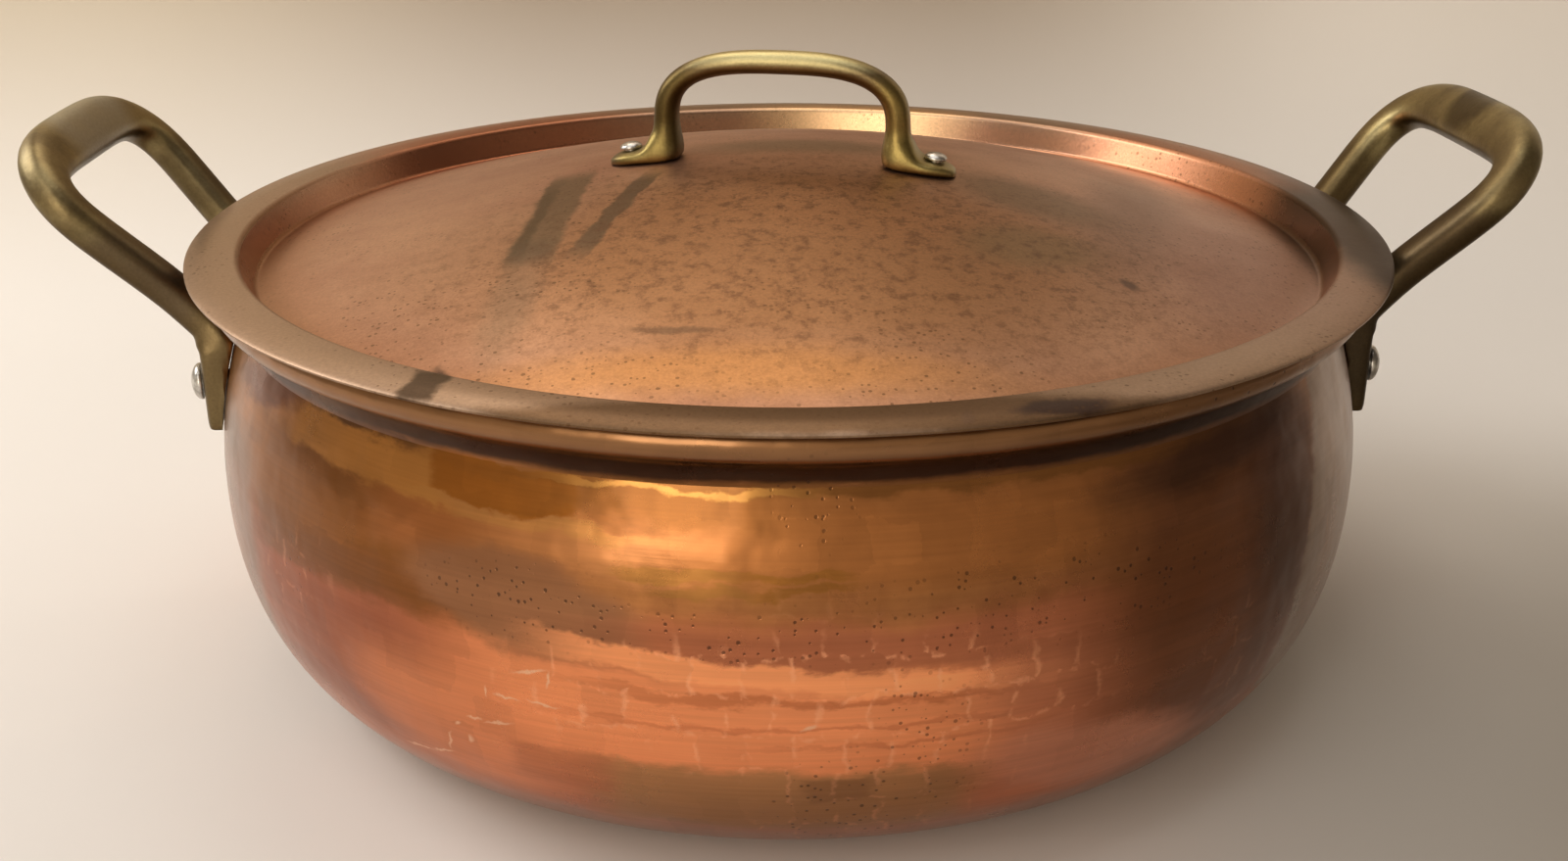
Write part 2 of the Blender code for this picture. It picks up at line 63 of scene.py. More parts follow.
def add_node(tree, kind, inputs=(), **settings):
    """Adds a node with its settings and its inputs."""
    node = tree.nodes.new("ShaderNode" + kind)
    for name, value in settings.items():
        setattr(node, name, value)
    feed(node, inputs)
    return node


def start_finish(name, roughness, metallic):
    """A new material, its node tree, its shader, and the place on the object."""
    material = bpy.data.materials.new(name)
    material.use_nodes = True
    tree = material.node_tree
    shader = tree.nodes["Principled BSDF"]
    shader.inputs["Roughness"].default_value = roughness
    shader.inputs["Metallic"].default_value = metallic
    return material, tree, shader, add_node(tree, "TexCoord").outputs["Object"]


SHEET_LEFT = -0.80
SHEET_RIGHT = 1.15
SHEET_FRONT = -2.4
SHEET_BEND_START = 0.24
SHEET_BEND_RADIUS = 0.16
SHEET_BEND_ANGLE = math.radians(82)
SHEET_BEND_STEPS = 20
SHEET_RISE = 1.7

bpy.ops.object.select_all(action="DESELECT")
sheet_middle = ((SHEET_LEFT + SHEET_RIGHT) / 2, (SHEET_FRONT + SHEET_BEND_START) / 2, 0.0)
bpy.ops.mesh.primitive_plane_add(size=1.0, location=sheet_middle)
sheet = bpy.context.object
sheet.name = "backdrop"
sheet.scale = (SHEET_RIGHT - SHEET_LEFT, SHEET_BEND_START - SHEET_FRONT, 1.0)
bpy.ops.object.transform_apply()
bpy.ops.object.mode_set(mode="EDIT")
bpy.ops.mesh.select_mode(type="EDGE")
bpy.ops.mesh.select_all(action="DESELECT")
work = bmesh.from_edit_mesh(sheet.data)
for edge in work.edges:
    edge.select_set(all(abs(corner.co.y - SHEET_BEND_START) < 0.001 for corner in edge.verts))
bmesh.update_edit_mesh(sheet.data)
bpy.ops.mesh.spin(steps=SHEET_BEND_STEPS, angle=SHEET_BEND_ANGLE, axis=(-1.0, 0.0, 0.0),
                  center=(0.0, SHEET_BEND_START, SHEET_BEND_RADIUS))
rise = (0.0, SHEET_RISE * math.cos(SHEET_BEND_ANGLE), SHEET_RISE * math.sin(SHEET_BEND_ANGLE))
bpy.ops.mesh.extrude_edges_move(TRANSFORM_OT_translate={"value": rise})
bpy.ops.mesh.select_all(action="SELECT")
bpy.ops.mesh.normals_make_consistent(inside=True)
bpy.ops.object.mode_set(mode="OBJECT")
bpy.ops.object.shade_smooth()

# Matt studio cloth, off-white on the floor and browner where it rises behind the pot, most of all in
# the middle, where the brown is a painted glow of light thrown back by the copper. Right of the pot a
# painted shadow darkens the floor. The copper mirrors it as pale and dark bands.
SHADE_MIDDLE = (0.41, -0.19, 0.0)
SHADE_SIZE = (0.31, 0.28, 1.0)

cloth, tree, shader, where = start_finish("matt_backdrop_cloth", 0.95, 0.0)
parts = add_node(tree, "SeparateXYZ", [where])
up_wall = add_node(tree, "MapRange", [parts.outputs["Z"], 0.0, 0.16])
across = add_node(tree, "MapRange", [parts.outputs["X"], -0.25, 0.25])
tone = add_node(tree, "Mix", {0: across, 6: "#c4b498", 7: "#efe6da"}, data_type="RGBA")
# The browner middle of the rising cloth is a painted glow thrown back by the copper.
off_middle = add_node(tree, "Math", [parts.outputs["X"]], operation="ABSOLUTE")
middle = add_node(tree, "MapRange", [off_middle, 0.08, 0.32, 1.0, 0.0], interpolation_type="SMOOTHSTEP")
tone = add_node(tree, "Mix", {0: middle, 6: tone, 7: "#8c7454"}, data_type="RGBA")
tone = add_node(tree, "Mix", {0: up_wall, 6: "#e4e0db", 7: tone}, data_type="RGBA")
# A painted shadow of the pot, darkening the floor right of it.
from_shade = add_node(tree, "Mapping", {"Vector": where, "Location": SHADE_MIDDLE, "Scale": SHADE_SIZE},
                      vector_type="TEXTURE")
away = add_node(tree, "VectorMath", [from_shade], operation="LENGTH")
painted_shadow = add_node(tree, "MapRange", [away, 0.52, 1.30, 1.0, 0.0], interpolation_type="SMOOTHSTEP")
tone = add_node(tree, "Mix", {0: painted_shadow, 6: tone, 7: "#988f82"}, data_type="RGBA")
feed(shader, {"Base Color": tone})

# The cloth is clear from behind, so that the pot can be looked at from the back too.
from_behind = add_node(tree, "NewGeometry").outputs["Backfacing"]
clear = add_node(tree, "BsdfTransparent")
one_sided = add_node(tree, "MixShader", [from_behind, shader, clear])
feed(tree.nodes["Material Output"], {"Surface": one_sided})
sheet.data.materials.append(cloth)

LAMP_AIM = Vector((0.0, 0.0, 0.06))

for name, place, width, height, power, colour in (
    ("key_lamp_left", Vector((-1.00, 0.28, 0.78)), 0.70, 0.70, 9.0, "#fffdfb"),
    ("front_window", Vector((-0.53, -1.25, 0.48)), 0.50, 0.70, 4.2, "#fff4e4"),
    ("top_lamp", Vector((-0.10, -0.05, 1.40)), 0.90, 0.90, 3.6, "#fffdfb"),
    ("front_lamp_high", Vector((-0.80, -1.00, 1.30)), 0.90, 0.90, 4.8, "#fffaf4"),
    ("lid_lamp_behind", Vector((-0.08, 0.35, 0.66)), 0.40, 0.40, 1.1, "#fff4e4"),
):
    bpy.ops.object.select_all(action="DESELECT")
    bpy.ops.object.light_add(type="AREA", location=place)
    lamp = bpy.context.object
    lamp.name = name
    lamp.rotation_euler = (LAMP_AIM - place).to_track_quat("-Z", "Y").to_euler()
    lamp.data.shape = "RECTANGLE"
    lamp.data.size = width
    lamp.data.size_y = height
    lamp.data.energy = power
    lamp.data.color = linear(colour)[:3]

room = bpy.data.worlds.new("dim_warm_room")
bpy.context.scene.world = room
room.use_nodes = True
tree = room.node_tree
sky = tree.nodes["Background"]
direction = add_node(tree, "TexCoord").outputs["Generated"]
toward_window = add_node(tree, "VectorMath", [direction, (-0.35, -0.94, 0.0)], operation="DOT_PRODUCT")
glow = add_node(tree, "MapRange", [toward_window, -0.4, 1.0])
up = add_node(tree, "SeparateXYZ", [direction]).outputs["Z"]
low_band = add_node(tree, "MapRange", [up, 0.15, 0.60, 1.0, 0.25], interpolation_type="SMOOTHSTEP")
glow = add_node(tree, "Math", [glow, low_band], operation="MULTIPLY")
shade = add_node(tree, "Mix", {0: glow, 6: "#5a5046", 7: "#dcccb4"}, data_type="RGBA")
feed(sky, {"Color": shade, "Strength": 1.0})

bpy.context.scene.view_settings.view_transform = "Standard"

CAMERA_PLACE = (-0.02176, -0.44527, 0.2296)
CAMERA_TURN = (math.radians(68.135), 0.0, math.radians(-2.65))
CAMERA_LENS = 40.5

bpy.ops.object.select_all(action="DESELECT")
bpy.ops.object.camera_add(location=CAMERA_PLACE, rotation=CAMERA_TURN)
camera = bpy.context.object
camera.name = "photo_view"
camera.data.lens = CAMERA_LENS
camera.data.sensor_width = 36.0
camera.data.clip_start = 0.01
camera.data.clip_end = 20.0
bpy.context.scene.camera = camera

# The pot's copper
# A low, bellied body raised from one copper sheet, 1.8 mm thick, with its rim rolled over outwards.
# It was planished by hand in rings of hammer marks, and fire and use have stained it brown, gold
# and purple above the bright salmon belly.

RIM_HEIGHT = 0.1094
BELLY_RADIUS = 0.1462
BELLY_HEIGHT = 0.0552
BASE_RADIUS = 0.1026
BILGE_ROUNDNESS = 2.28
NECK_RADIUS = 0.1384
NECK_HEIGHT = 0.0944
MOUTH_RADIUS = 0.1387
MOUTH_HEIGHT = 0.1076
LIP_RADIUS = 0.1458
LIP_ROLL = 0.0039
LIP_TOP = 0.1089
LIP_START = math.radians(110)
LIP_END = math.radians(-85)
THROAT = (0.1399, 0.0987)
POT_WALL = 0.0018
MOUTH_STEPS = 8
LIP_STEPS = 18
WALL_STEPS = 12
BILGE_STEPS = 28
TURN_STEPS = 192
CREASE_ANGLE = math.radians(40)


def blend(start, end, share):
    return start + (end - start) * share


def ease(share):
    share = min(max(share, 0.0), 1.0)
    return share * share * (3.0 - 2.0 * share)


def arc(centre, size, start, end, steps):
    """Points of a round corner, with angles counted from straight outwards."""
    angles = [blend(start, end, step / steps) for step in range(steps + 1)]
    return [(centre[0] + size * math.cos(angle), centre[1] + size * math.sin(angle)) for angle in angles]


def offset_path(path, distance):
    """Path of radius and height points, moved to the right of its direction."""
    moved = []
    for index, (radius, height) in enumerate(path):
        normals = []
        for first in (index - 1, index):
            if 0 <= first < len(path) - 1:
                along = Vector(path[first + 1]) - Vector(path[first])
                normals.append(Vector((along.y, -along.x)).normalized())
        normal = sum(normals, Vector((0.0, 0.0))).normalized()
        reach = distance / normal.dot(normals[0])
        if radius == 0.0:
            moved.append((0.0, height + math.copysign(reach, normal.y * reach)))
        else:
            moved.append((radius + normal.x * reach, height + normal.y * reach))
    return moved


def wall_radius(height):
    """Outer radius of the pot between the belly and the neck."""
    share = (height - BELLY_HEIGHT) / (NECK_HEIGHT - BELLY_HEIGHT)
    return BELLY_RADIUS - (BELLY_RADIUS - NECK_RADIUS) * share ** 2


def outer_wall():
    """Neck, belly and bilge, from the neck down to the edge of the base."""
    path = []
    for step in range(WALL_STEPS):
        height = blend(NECK_HEIGHT, BELLY_HEIGHT, step / WALL_STEPS)
        path.append((wall_radius(height), height))
    power = 2.0 / BILGE_ROUNDNESS
    for step in range(BILGE_STEPS + 1):
        angle = math.pi / 2 * step / BILGE_STEPS
        radius = blend(BASE_RADIUS, BELLY_RADIUS, max(math.cos(angle), 0.0) ** power)
        path.append((radius, BELLY_HEIGHT * (1.0 - math.sin(angle) ** power)))
    return path


def inner_wall():
    """Inner side of the copper, from the mouth down to the middle of the floor."""
    path = []
    for step in range(MOUTH_STEPS):
        share = 1.0 - step / MOUTH_STEPS
        radius = blend(NECK_RADIUS - POT_WALL, MOUTH_RADIUS, ease(share))
        path.append((radius, blend(NECK_HEIGHT, MOUTH_HEIGHT, share)))
    return path + offset_path(outer_wall() + [(0.0, 0.0)], POT_WALL)


def open_piece(name, kind):
    """Names the primitive just added, and opens it in edit mode with all of it selected."""
    piece = bpy.context.object
    piece.name = piece.data.name = name
    bpy.ops.object.transform_apply()
    bpy.ops.object.mode_set(mode="EDIT")
    bpy.ops.mesh.select_mode(type=kind)
    bpy.ops.mesh.select_all(action="SELECT")
    return piece


def turn_piece(name, profile, steps):
    """Draws a profile of radius and height points, and spins it round the upright axis."""
    bpy.ops.object.select_all(action="DESELECT")
    bpy.ops.mesh.primitive_plane_add(size=0.0001, location=(profile[0][0], 0.0, profile[0][1]))
    piece = open_piece(name, "VERT")
    bpy.ops.mesh.merge(type="CENTER")
    for before, after in zip(profile, profile[1:]):
        stride = (after[0] - before[0], 0.0, after[1] - before[1])
        bpy.ops.mesh.extrude_vertices_move(TRANSFORM_OT_translate={"value": stride})
    bpy.ops.mesh.select_all(action="SELECT")
    bpy.ops.mesh.spin(steps=steps, angle=math.tau, axis=(0.0, 0.0, 1.0), center=(0.0, 0.0, 0.0))
    bpy.ops.mesh.select_all(action="SELECT")
    bpy.ops.mesh.remove_doubles(threshold=0.000005)
    bpy.ops.mesh.normals_make_consistent(inside=False)
    bpy.ops.object.mode_set(mode="OBJECT")
    bpy.ops.object.shade_smooth_by_angle(angle=CREASE_ANGLE)
    return piece


rolled_lip = arc((LIP_RADIUS - LIP_ROLL, LIP_TOP - LIP_ROLL), LIP_ROLL, LIP_START, LIP_END, LIP_STEPS)
body_profile = inner_wall()[::-1] + rolled_lip + [THROAT] + outer_wall() + [(0.0, 0.0)]
pot_copper = turn_piece("pot_copper_body", body_profile, TURN_STEPS)

# Raised and planished copper, dimpled by overlapping hammer marks about 10 mm wide. It is satin, with
# the stains of heat lying on it, and a thin film of grease that mirrors greyly at its flanks. Painted
# reflections of the cloth grey both flanks further, and a painted dark reflection darkens the right one.
MARK_WIDTH = 9.8
MARK_HEIGHT = 8.8
COPPER_BRIGHT = "#cb7b52"
COPPER_DEEP = "#ac6743"
MM_PER_M = 1000.0
SQUARED_CORNER = 0.25
DOT_EDGE = 0.08

# Each patch, mostly stains and some painted reflections, is its colour, its middle (mm to the right
# of the front, mm above the table), its half width and half height in mm, its lean in degrees, how
# soft its edge is, how strongly it covers, and True where it is a squared patch.
BODY_STAINS_AND_LIGHT = (
    ("#ae703e", (24, 84), (52, 9), 0, 0.5, 0.75, True),
    ("#955439", (-122, 45), (34, 19), 0, 0.45, 0.8, True),
    # A painted reflection of the pale cloth greys the left flank.
    ("#84695a", (-194, 41), (42, 39), 0, 0.14, 0.8, True),
    ("#7e4c1c", (-110, 74), (42, 12), -3, 0.25, 0.9, True),
    ("#a8683a", (-76, 80), (24, 6), -2, 0.5, 0.85, True),
    ("#7d4d26", (-120, 64), (30, 5), 2, 0.3, 0.8, True),
    ("#b97d3e", (-108, 90), (26, 5.5), -2, 0.2, 0.9, True),
    ("#f59a66", (-14, 45), (58, 14), 0, 0.3, 0.88, True),
    ("#dc8a5c", (-82, 34), (27, 14), -16, 0.45, 0.8),
    ("#9c5e20", (-68, 90.4), (17.5, 4.2), -1, 0.08, 0.92, True),
    ("#7e5026", (-34, 91.5), (24, 4), 0, 0.6, 0.8, True),
    ("#c28352", (-52, 80.5), (19, 4), 0, 0.6, 0.7, True),
    ("#c08a4c", (-62, 84.8), (26, 1.2), -1, 0.6, 0.5, True),
    ("#966747", (-63, 68), (27, 10), -8, 0.22, 0.9),
    ("#9c6c36", (-30, 77.6), (12, 1), -2, 0.4, 0.8, True),
    ("#9c6c36", (-25, 74.8), (10, 0.9), -2, 0.4, 0.75, True),
    ("#9a672c", (-6, 77.4), (11, 0.9), 1, 0.4, 0.75, True),
    ("#94622a", (-5, 75), (10, 0.8), 1, 0.4, 0.75, True),
    ("#ab6748", (5, 62.5), (45, 5), 1, 0.45, 0.75, True),
    ("#ffa66e", (-2, 56.6), (52, 2.6), -4.5, 0.3, 0.92, True),
    ("#b4653d", (12, 51.4), (54, 0.9), -1, 0.6, 0.6, True),
    ("#c26f48", (-2, 46), (48, 0.6), 1, 0.7, 0.55, True),
    ("#c26f48", (24, 41.4), (34, 0.6), 2, 0.7, 0.5, True),
    ("#c67c5a", (54, 50), (21, 17), 0, 0.6, 0.75),
    # A painted dark reflection darkens the right flank, with a darker strip at its edge.
    ("#7c4e32", (96, 64), (36, 48), 0, 0.4, 0.92),
    ("#4a2c1c", (120, 72), (16, 32), -8, 0.6, 0.75),
    # A painted reflection of the pale cloth greys the right flank, with a sharp edge.
    ("#95806f", (178, 56), (50, 48), -16, 0.04, 0.85, True),
    ("#d48f70", (62, 29), (30, 9), -10, 0.4, 0.85),
    ("#a87b50", (-8, 25), (40, 9.5), 0, 0.2, 0.86, True),
    ("#8f6340", (4, 29.5), (7, 3.2), 0, 0.25, 0.6, True),
    ("#b06c48", (-56, 30), (11, 5), 0, 0.3, 0.6, True),
    ("#b08b7a", (0, 8), (470, 8), 0, 0.6, 0.7, True),
    ("#6a3a26", (-152, 92), (22, 3.6), 8, 0.35, 0.8),
    ("#4a2f22", (-112, 95), (26, 2), -2, 0.4, 0.8),
    ("#7d5228", (16, 94.4), (80, 1.8), 0, 0.5, 0.75, True),
    ("#cc9650", (-30, 93.4), (22, 0.7), 0, 0.6, 0.6, True),
    ("#4e3426", (92, 90), (30, 4.5), 4, 0.6, 0.75),
    ("#7a5034", (222, 74), (52, 12), 2, 0.25, 0.8, True),
    ("#8f5a2a", (286, 86), (30, 5), 1, 0.2, 0.85, True),
    ("#d98658", (300, 45), (96, 12), 0, 0.4, 0.75, True),
    ("#875a3a", (392, 66), (30, 9), -4, 0.25, 0.85, True),
    ("#9d6b4a", (214, 27), (54, 8), 2, 0.25, 0.8, True),
    ("#6f4a30", (-258, 76), (44, 14), 0, 0.25, 0.8, True),
    ("#d98658", (-262, 42), (74, 13), 0, 0.45, 0.7, True),
    ("#8a5c3c", (-348, 64), (46, 8), 3, 0.25, 0.85, True),
    ("#94602c", (-392, 88), (28, 4), 0, 0.2, 0.85, True),
    ("#a16e4c", (-336, 26), (62, 8), 0, 0.25, 0.8, True),
)

# Bright scratches and bare edges of hammer marks, laid in the same way.
BODY_SCRATCHES = (
    ((-60, 53.6), (3.4, 0.28), 14),
    ((-56, 52.4), (0.3, 1.7), -14),
    ((-71, 46.4), (0.26, 1.2), 0),
    ((-66, 46.2), (2.6, 0.26), -4),
    ((-57.5, 46.4), (3, 0.26), -6),
    ((-75, 38.6), (1.6, 0.24), 10),
    ((-69, 39), (3, 0.28), 12),
    ((-80, 35.6), (0.9, 0.35), 30),
    ((-77.5, 32), (0.5, 1), -30),
    ((-84, 29.6), (0.34, 2.6), -20),
    ((-88, 24.8), (3, 0.34), 16),
    ((-96, 22.6), (4.4, 0.28), 8),
    ((-3, 46.2), (1.6, 0.45), 20),
)


def unroll_wall(tree, where):
    """The way round from the front and the height, both in mm, as one vector."""
    parts = add_node(tree, "SeparateXYZ", [where])
    back = add_node(tree, "Math", [parts.outputs["Y"], -1.0], operation="MULTIPLY")
    turn = add_node(tree, "Math", [parts.outputs["X"], back], operation="ARCTAN2")
    round_way = add_node(tree, "Math", [turn, BELLY_RADIUS * MM_PER_M], operation="MULTIPLY")
    height = add_node(tree, "Math", [parts.outputs["Z"], MM_PER_M], operation="MULTIPLY")
    return add_node(tree, "CombineXYZ", [round_way, height])


def roughen(tree, places, ground, scale, reach, seed):
    """Moves places in mm about by a fractal noise laid on the ground, so that what lies there is ragged."""
    shifted = add_node(tree, "VectorMath", [ground, (seed, seed * 0.7, seed * 1.3)], operation="ADD")
    noise = add_node(tree, "TexNoise", {"Vector": shifted, "Scale": 1.0 / scale, "Detail": 5.0,
                                        "Roughness": 0.62})
    centred = add_node(tree, "VectorMath", [noise.outputs["Color"], (0.5, 0.5, 0.5)], operation="SUBTRACT")
    push = add_node(tree, "VectorMath", {0: centred, "Scale": reach}, operation="SCALE")
    return add_node(tree, "VectorMath", [places, push], operation="ADD")


def from_axis(tree, places):
    """How far places are from the upright axis."""
    level = add_node(tree, "VectorMath", [places, (1.0, 1.0, 0.0)], operation="MULTIPLY")
    return add_node(tree, "VectorMath", [level], operation="LENGTH")


def patch_cover(tree, places, middle, size, lean, softness, strength, squared=False):
    """How strongly a soft-edged patch covers each place, from 0 to its strength."""
    turn = (0.0, 0.0, math.radians(lean))
    centred = add_node(tree, "Mapping", {"Vector": places, "Location": (*middle, 0.0), "Rotation": turn,
                                         "Scale": (*size, 1.0)}, vector_type="TEXTURE")
    if squared:
        flat = add_node(tree, "VectorMath", [centred], operation="ABSOLUTE")
        sides = add_node(tree, "SeparateXYZ", [flat])
        away = add_node(tree, "Math", [sides.outputs["X"], sides.outputs["Y"], SQUARED_CORNER],
                        operation="SMOOTH_MAX")
    else:
        away = from_axis(tree, centred)
    return add_node(tree, "MapRange", [away, 1.0 - softness, 1.0 + softness, strength, 0.0],
                    interpolation_type="SMOOTHSTEP")


def clouded(tree, clouds, low, high, first, second):
    """Two colours that pass into each other between a low and a high value of the clouds."""
    share = add_node(tree, "MapRange", [clouds, low, high])
    return add_node(tree, "Mix", {0: share, 6: first, 7: second}, data_type="RGBA")


def drawn_out(tree, places, scale, detail, roughness):
    """Noise of so many waves a metre along each axis, few where it is drawn out."""
    waves = add_node(tree, "Mapping", {"Vector": places, "Scale": scale})
    return add_node(tree, "TexNoise", {"Vector": waves, "Scale": 1.0, "Detail": detail,
                                       "Roughness": roughness})


def toned(tree, colour, pattern, low, high, darker, lighter):
    """A colour that is darker where a pattern is low, and lighter where it is high."""
    tone = add_node(tree, "MapRange", [pattern, low, high, darker, lighter])
    return add_node(tree, "VectorMath", {0: colour, "Scale": tone}, operation="SCALE")


def round_dots(tree, places, scale, bare, size, strength):
    """Round dots of chance sizes, one in a cell, where a share of the cells stays bare."""
    cells = add_node(tree, "TexVoronoi", {"Vector": places, "Scale": scale})
    chance = add_node(tree, "SeparateXYZ", [cells.outputs["Color"]]).outputs["X"]
    reach = add_node(tree, "MapRange", [chance, bare, 1.0, 0.0, size])
    inside = add_node(tree, "Math", [reach, cells.outputs["Distance"]], operation="SUBTRACT")
    return add_node(tree, "MapRange", [inside, 0.0, DOT_EDGE, 0.0, strength])


def hammer_marks(tree, places, width, height):
    """Marks of a planished wall: their upright edges, their level edges, and a chance number for each."""
    parts = add_node(tree, "SeparateXYZ", [places])
    row = add_node(tree, "Math", [parts.outputs["Y"], height], operation="DIVIDE")
    row_number = add_node(tree, "Math", [row], operation="FLOOR")
    row_shift = add_node(tree, "TexWhiteNoise", {"W": row_number}, noise_dimensions="1D")
    column = add_node(tree, "Math", [parts.outputs["X"], width], operation="DIVIDE")
    column = add_node(tree, "Math", [column, row_shift], operation="ADD")
    column_number = add_node(tree, "Math", [column], operation="FLOOR")
    number = add_node(tree, "CombineXYZ", [column_number, row_number])
    chance = add_node(tree, "TexWhiteNoise", {"Vector": number}, noise_dimensions="2D")
    edges = []
    for place, sharp in ((column, 0.80), (row, 0.82)):
        inside = add_node(tree, "Math", [place], operation="FRACT")
        centred = add_node(tree, "Math", [inside, 0.5], operation="SUBTRACT")
        away = add_node(tree, "Math", [centred], operation="ABSOLUTE")
        edges.append(add_node(tree, "MapRange", [away, sharp / 2, 0.5], interpolation_type="SMOOTHSTEP"))
    return *edges, chance


copper, tree, shader, where = start_finish("hand_planished_copper", 0.34, 1.0)
shader.inputs["Coat Weight"].default_value = 0.12
shader.inputs["Coat Roughness"].default_value = 0.12
wall_place = unroll_wall(tree, where)
ground = add_node(tree, "VectorMath", [where, (MM_PER_M, MM_PER_M, 2.2 * MM_PER_M)], operation="MULTIPLY")
ragged = roughen(tree, wall_place, ground, 16.0, 9.0, 31.0)

# Clouds of deeper and brighter copper all round, drawn out along the turning direction.
cloud = drawn_out(tree, where, (9.0, 9.0, 42.0), 6.0, 0.6)
colour = clouded(tree, cloud, 0.32, 0.68, COPPER_DEEP, COPPER_BRIGHT)

# Heat tint of the upper wall, all round the pot, gold with brown clouds.
height = add_node(tree, "SeparateXYZ", [ragged]).outputs["Y"]
upper = add_node(tree, "MapRange", [height, 62.0, 74.0, 0.0, 0.85], interpolation_type="SMOOTHSTEP")
tint_cloud = add_node(tree, "TexNoise", {"Vector": where, "Scale": 26.0, "Detail": 7.0, "Roughness": 0.66})
tint = clouded(tree, tint_cloud, 0.36, 0.64, "#8c5c34", "#b47c48")
colour = add_node(tree, "Mix", {0: upper, 6: colour, 7: tint}, data_type="RGBA")

for stain_and_light_colour, *patch in BODY_STAINS_AND_LIGHT:
    cover = patch_cover(tree, ragged, *patch)
    colour = add_node(tree, "Mix", {0: cover, 6: colour, 7: stain_and_light_colour}, data_type="RGBA")

# Painted shade under the rolled lip: dark in the throat, all round, and browner on the lip over it.
straight = roughen(tree, wall_place, ground, 18.0, 2.4, 61.0)
height = add_node(tree, "SeparateXYZ", [straight]).outputs["Y"]
throat = add_node(tree, "MapRange", [height, 94.6, 96.4], interpolation_type="SMOOTHSTEP")
under_lip = add_node(tree, "MapRange", [height, 101.0, 99.5])
painted_throat_shade = add_node(tree, "Math", [throat, under_lip], operation="MULTIPLY")
painted_lip_shade = add_node(tree, "MapRange", [height, 99.5, 101.0, 0.0, 0.8])
for cover, paint in ((painted_throat_shade, "#3e2410"), (painted_lip_shade, "#8c6848")):
    colour = add_node(tree, "Mix", {0: cover, 6: colour, 7: paint}, data_type="RGBA")

# Bare copper on the edges between hammer marks, in broken lines, mostly low on the belly. Half round
# the pot mirrors the other half, so the rows close without a seam.
parts = add_node(tree, "SeparateXYZ", [where])
turn = add_node(tree, "Math", [parts.outputs["Y"], parts.outputs["X"]], operation="ARCTAN2")
half_turn = add_node(tree, "Math", [turn], operation="ABSOLUTE")
round_way = add_node(tree, "Math", [half_turn, BELLY_RADIUS * MM_PER_M], operation="MULTIPLY")
height_mm = add_node(tree, "Math", [parts.outputs["Z"], MM_PER_M], operation="MULTIPLY")
rows = add_node(tree, "CombineXYZ", [round_way, height_mm])
millimetres = add_node(tree, "VectorMath", {0: where, "Scale": MM_PER_M}, operation="SCALE")
rows = roughen(tree, rows, millimetres, 10.0, 8.5, 7.0)
upright, level, chance = hammer_marks(tree, rows, MARK_WIDTH, MARK_HEIGHT)
broken = add_node(tree, "TexNoise", {"Vector": millimetres, "Scale": 0.22, "Detail": 3.0})
upright_left = add_node(tree, "MapRange", [broken, 0.46, 0.56, 0.0, 0.58])
level_left = add_node(tree, "MapRange", [broken, 0.46, 0.38, 0.0, 0.50])
upright = add_node(tree, "Math", [upright, upright_left], operation="MULTIPLY")
level = add_node(tree, "Math", [level, level_left], operation="MULTIPLY")
edges = add_node(tree, "Math", [upright, level], operation="MAXIMUM")
swarm = add_node(tree, "TexNoise", {"Vector": millimetres, "Scale": 0.024, "Detail": 1.0})
here = add_node(tree, "MapRange", [swarm, 0.50, 0.66, 0.0, 0.5])
front_belly = patch_cover(tree, wall_place, (-4.0, 50.0), (62.0, 16.0), 0, 0.25, 1.0)
here = add_node(tree, "Math", [here, front_belly], operation="MAXIMUM")
below = add_node(tree, "MapRange", [height_mm, 78.0, 60.0])
here = add_node(tree, "Math", [here, below], operation="MULTIPLY")
colour = toned(tree, colour, chance, 0.0, 1.0, 0.93, 1.05)
rubbed = add_node(tree, "Math", [edges, here], operation="MULTIPLY")
colour = add_node(tree, "Mix", {0: rubbed, 6: colour, 7: "#ffb284"}, data_type="RGBA")

# Level brush lines from scouring round the pot.
lines = drawn_out(tree, where, (30.0, 30.0, 1400.0), 3.0, 0.5)
bands = drawn_out(tree, where, (8.0, 8.0, 230.0), 3.0, 0.5)
for streaks in (lines, bands):
    colour = toned(tree, colour, streaks, 0.3, 0.7, 0.94, 1.05)

# Dark pits, 0.2 to 1 mm across, thick on the brown patch and right of the front, thin elsewhere.
pit = round_dots(tree, millimetres, 0.72, 0.25, 0.36, 0.75)
swarming = add_node(tree, "MapRange", [swarm, 0.56, 0.68, 0.0, 0.8])
for middle, size in (((-62, 68), (22, 8)), ((48, 70), (40, 9)), ((0, 66), (60, 5))):
    cover = patch_cover(tree, ragged, middle, size, 0, 0.5, 0.9)
    swarming = add_node(tree, "Math", [swarming, cover], operation="MAXIMUM")
pitted = add_node(tree, "Math", [pit, swarming], operation="MULTIPLY")
colour = add_node(tree, "Mix", {0: pitted, 6: colour, 7: "#35241a"}, data_type="RGBA")

fine_ragged = roughen(tree, wall_place, millimetres, 2.4, 2.2, 53.0)
scratched = None
for middle, size, lean in BODY_SCRATCHES:
    cover = patch_cover(tree, fine_ragged, middle, size, lean, 0.6, 0.75)
    if scratched is not None:
        cover = add_node(tree, "Math", [scratched, cover], operation="MAXIMUM")
    scratched = cover
colour = add_node(tree, "Mix", {0: scratched, 6: colour, 7: "#efbf9a"}, data_type="RGBA")

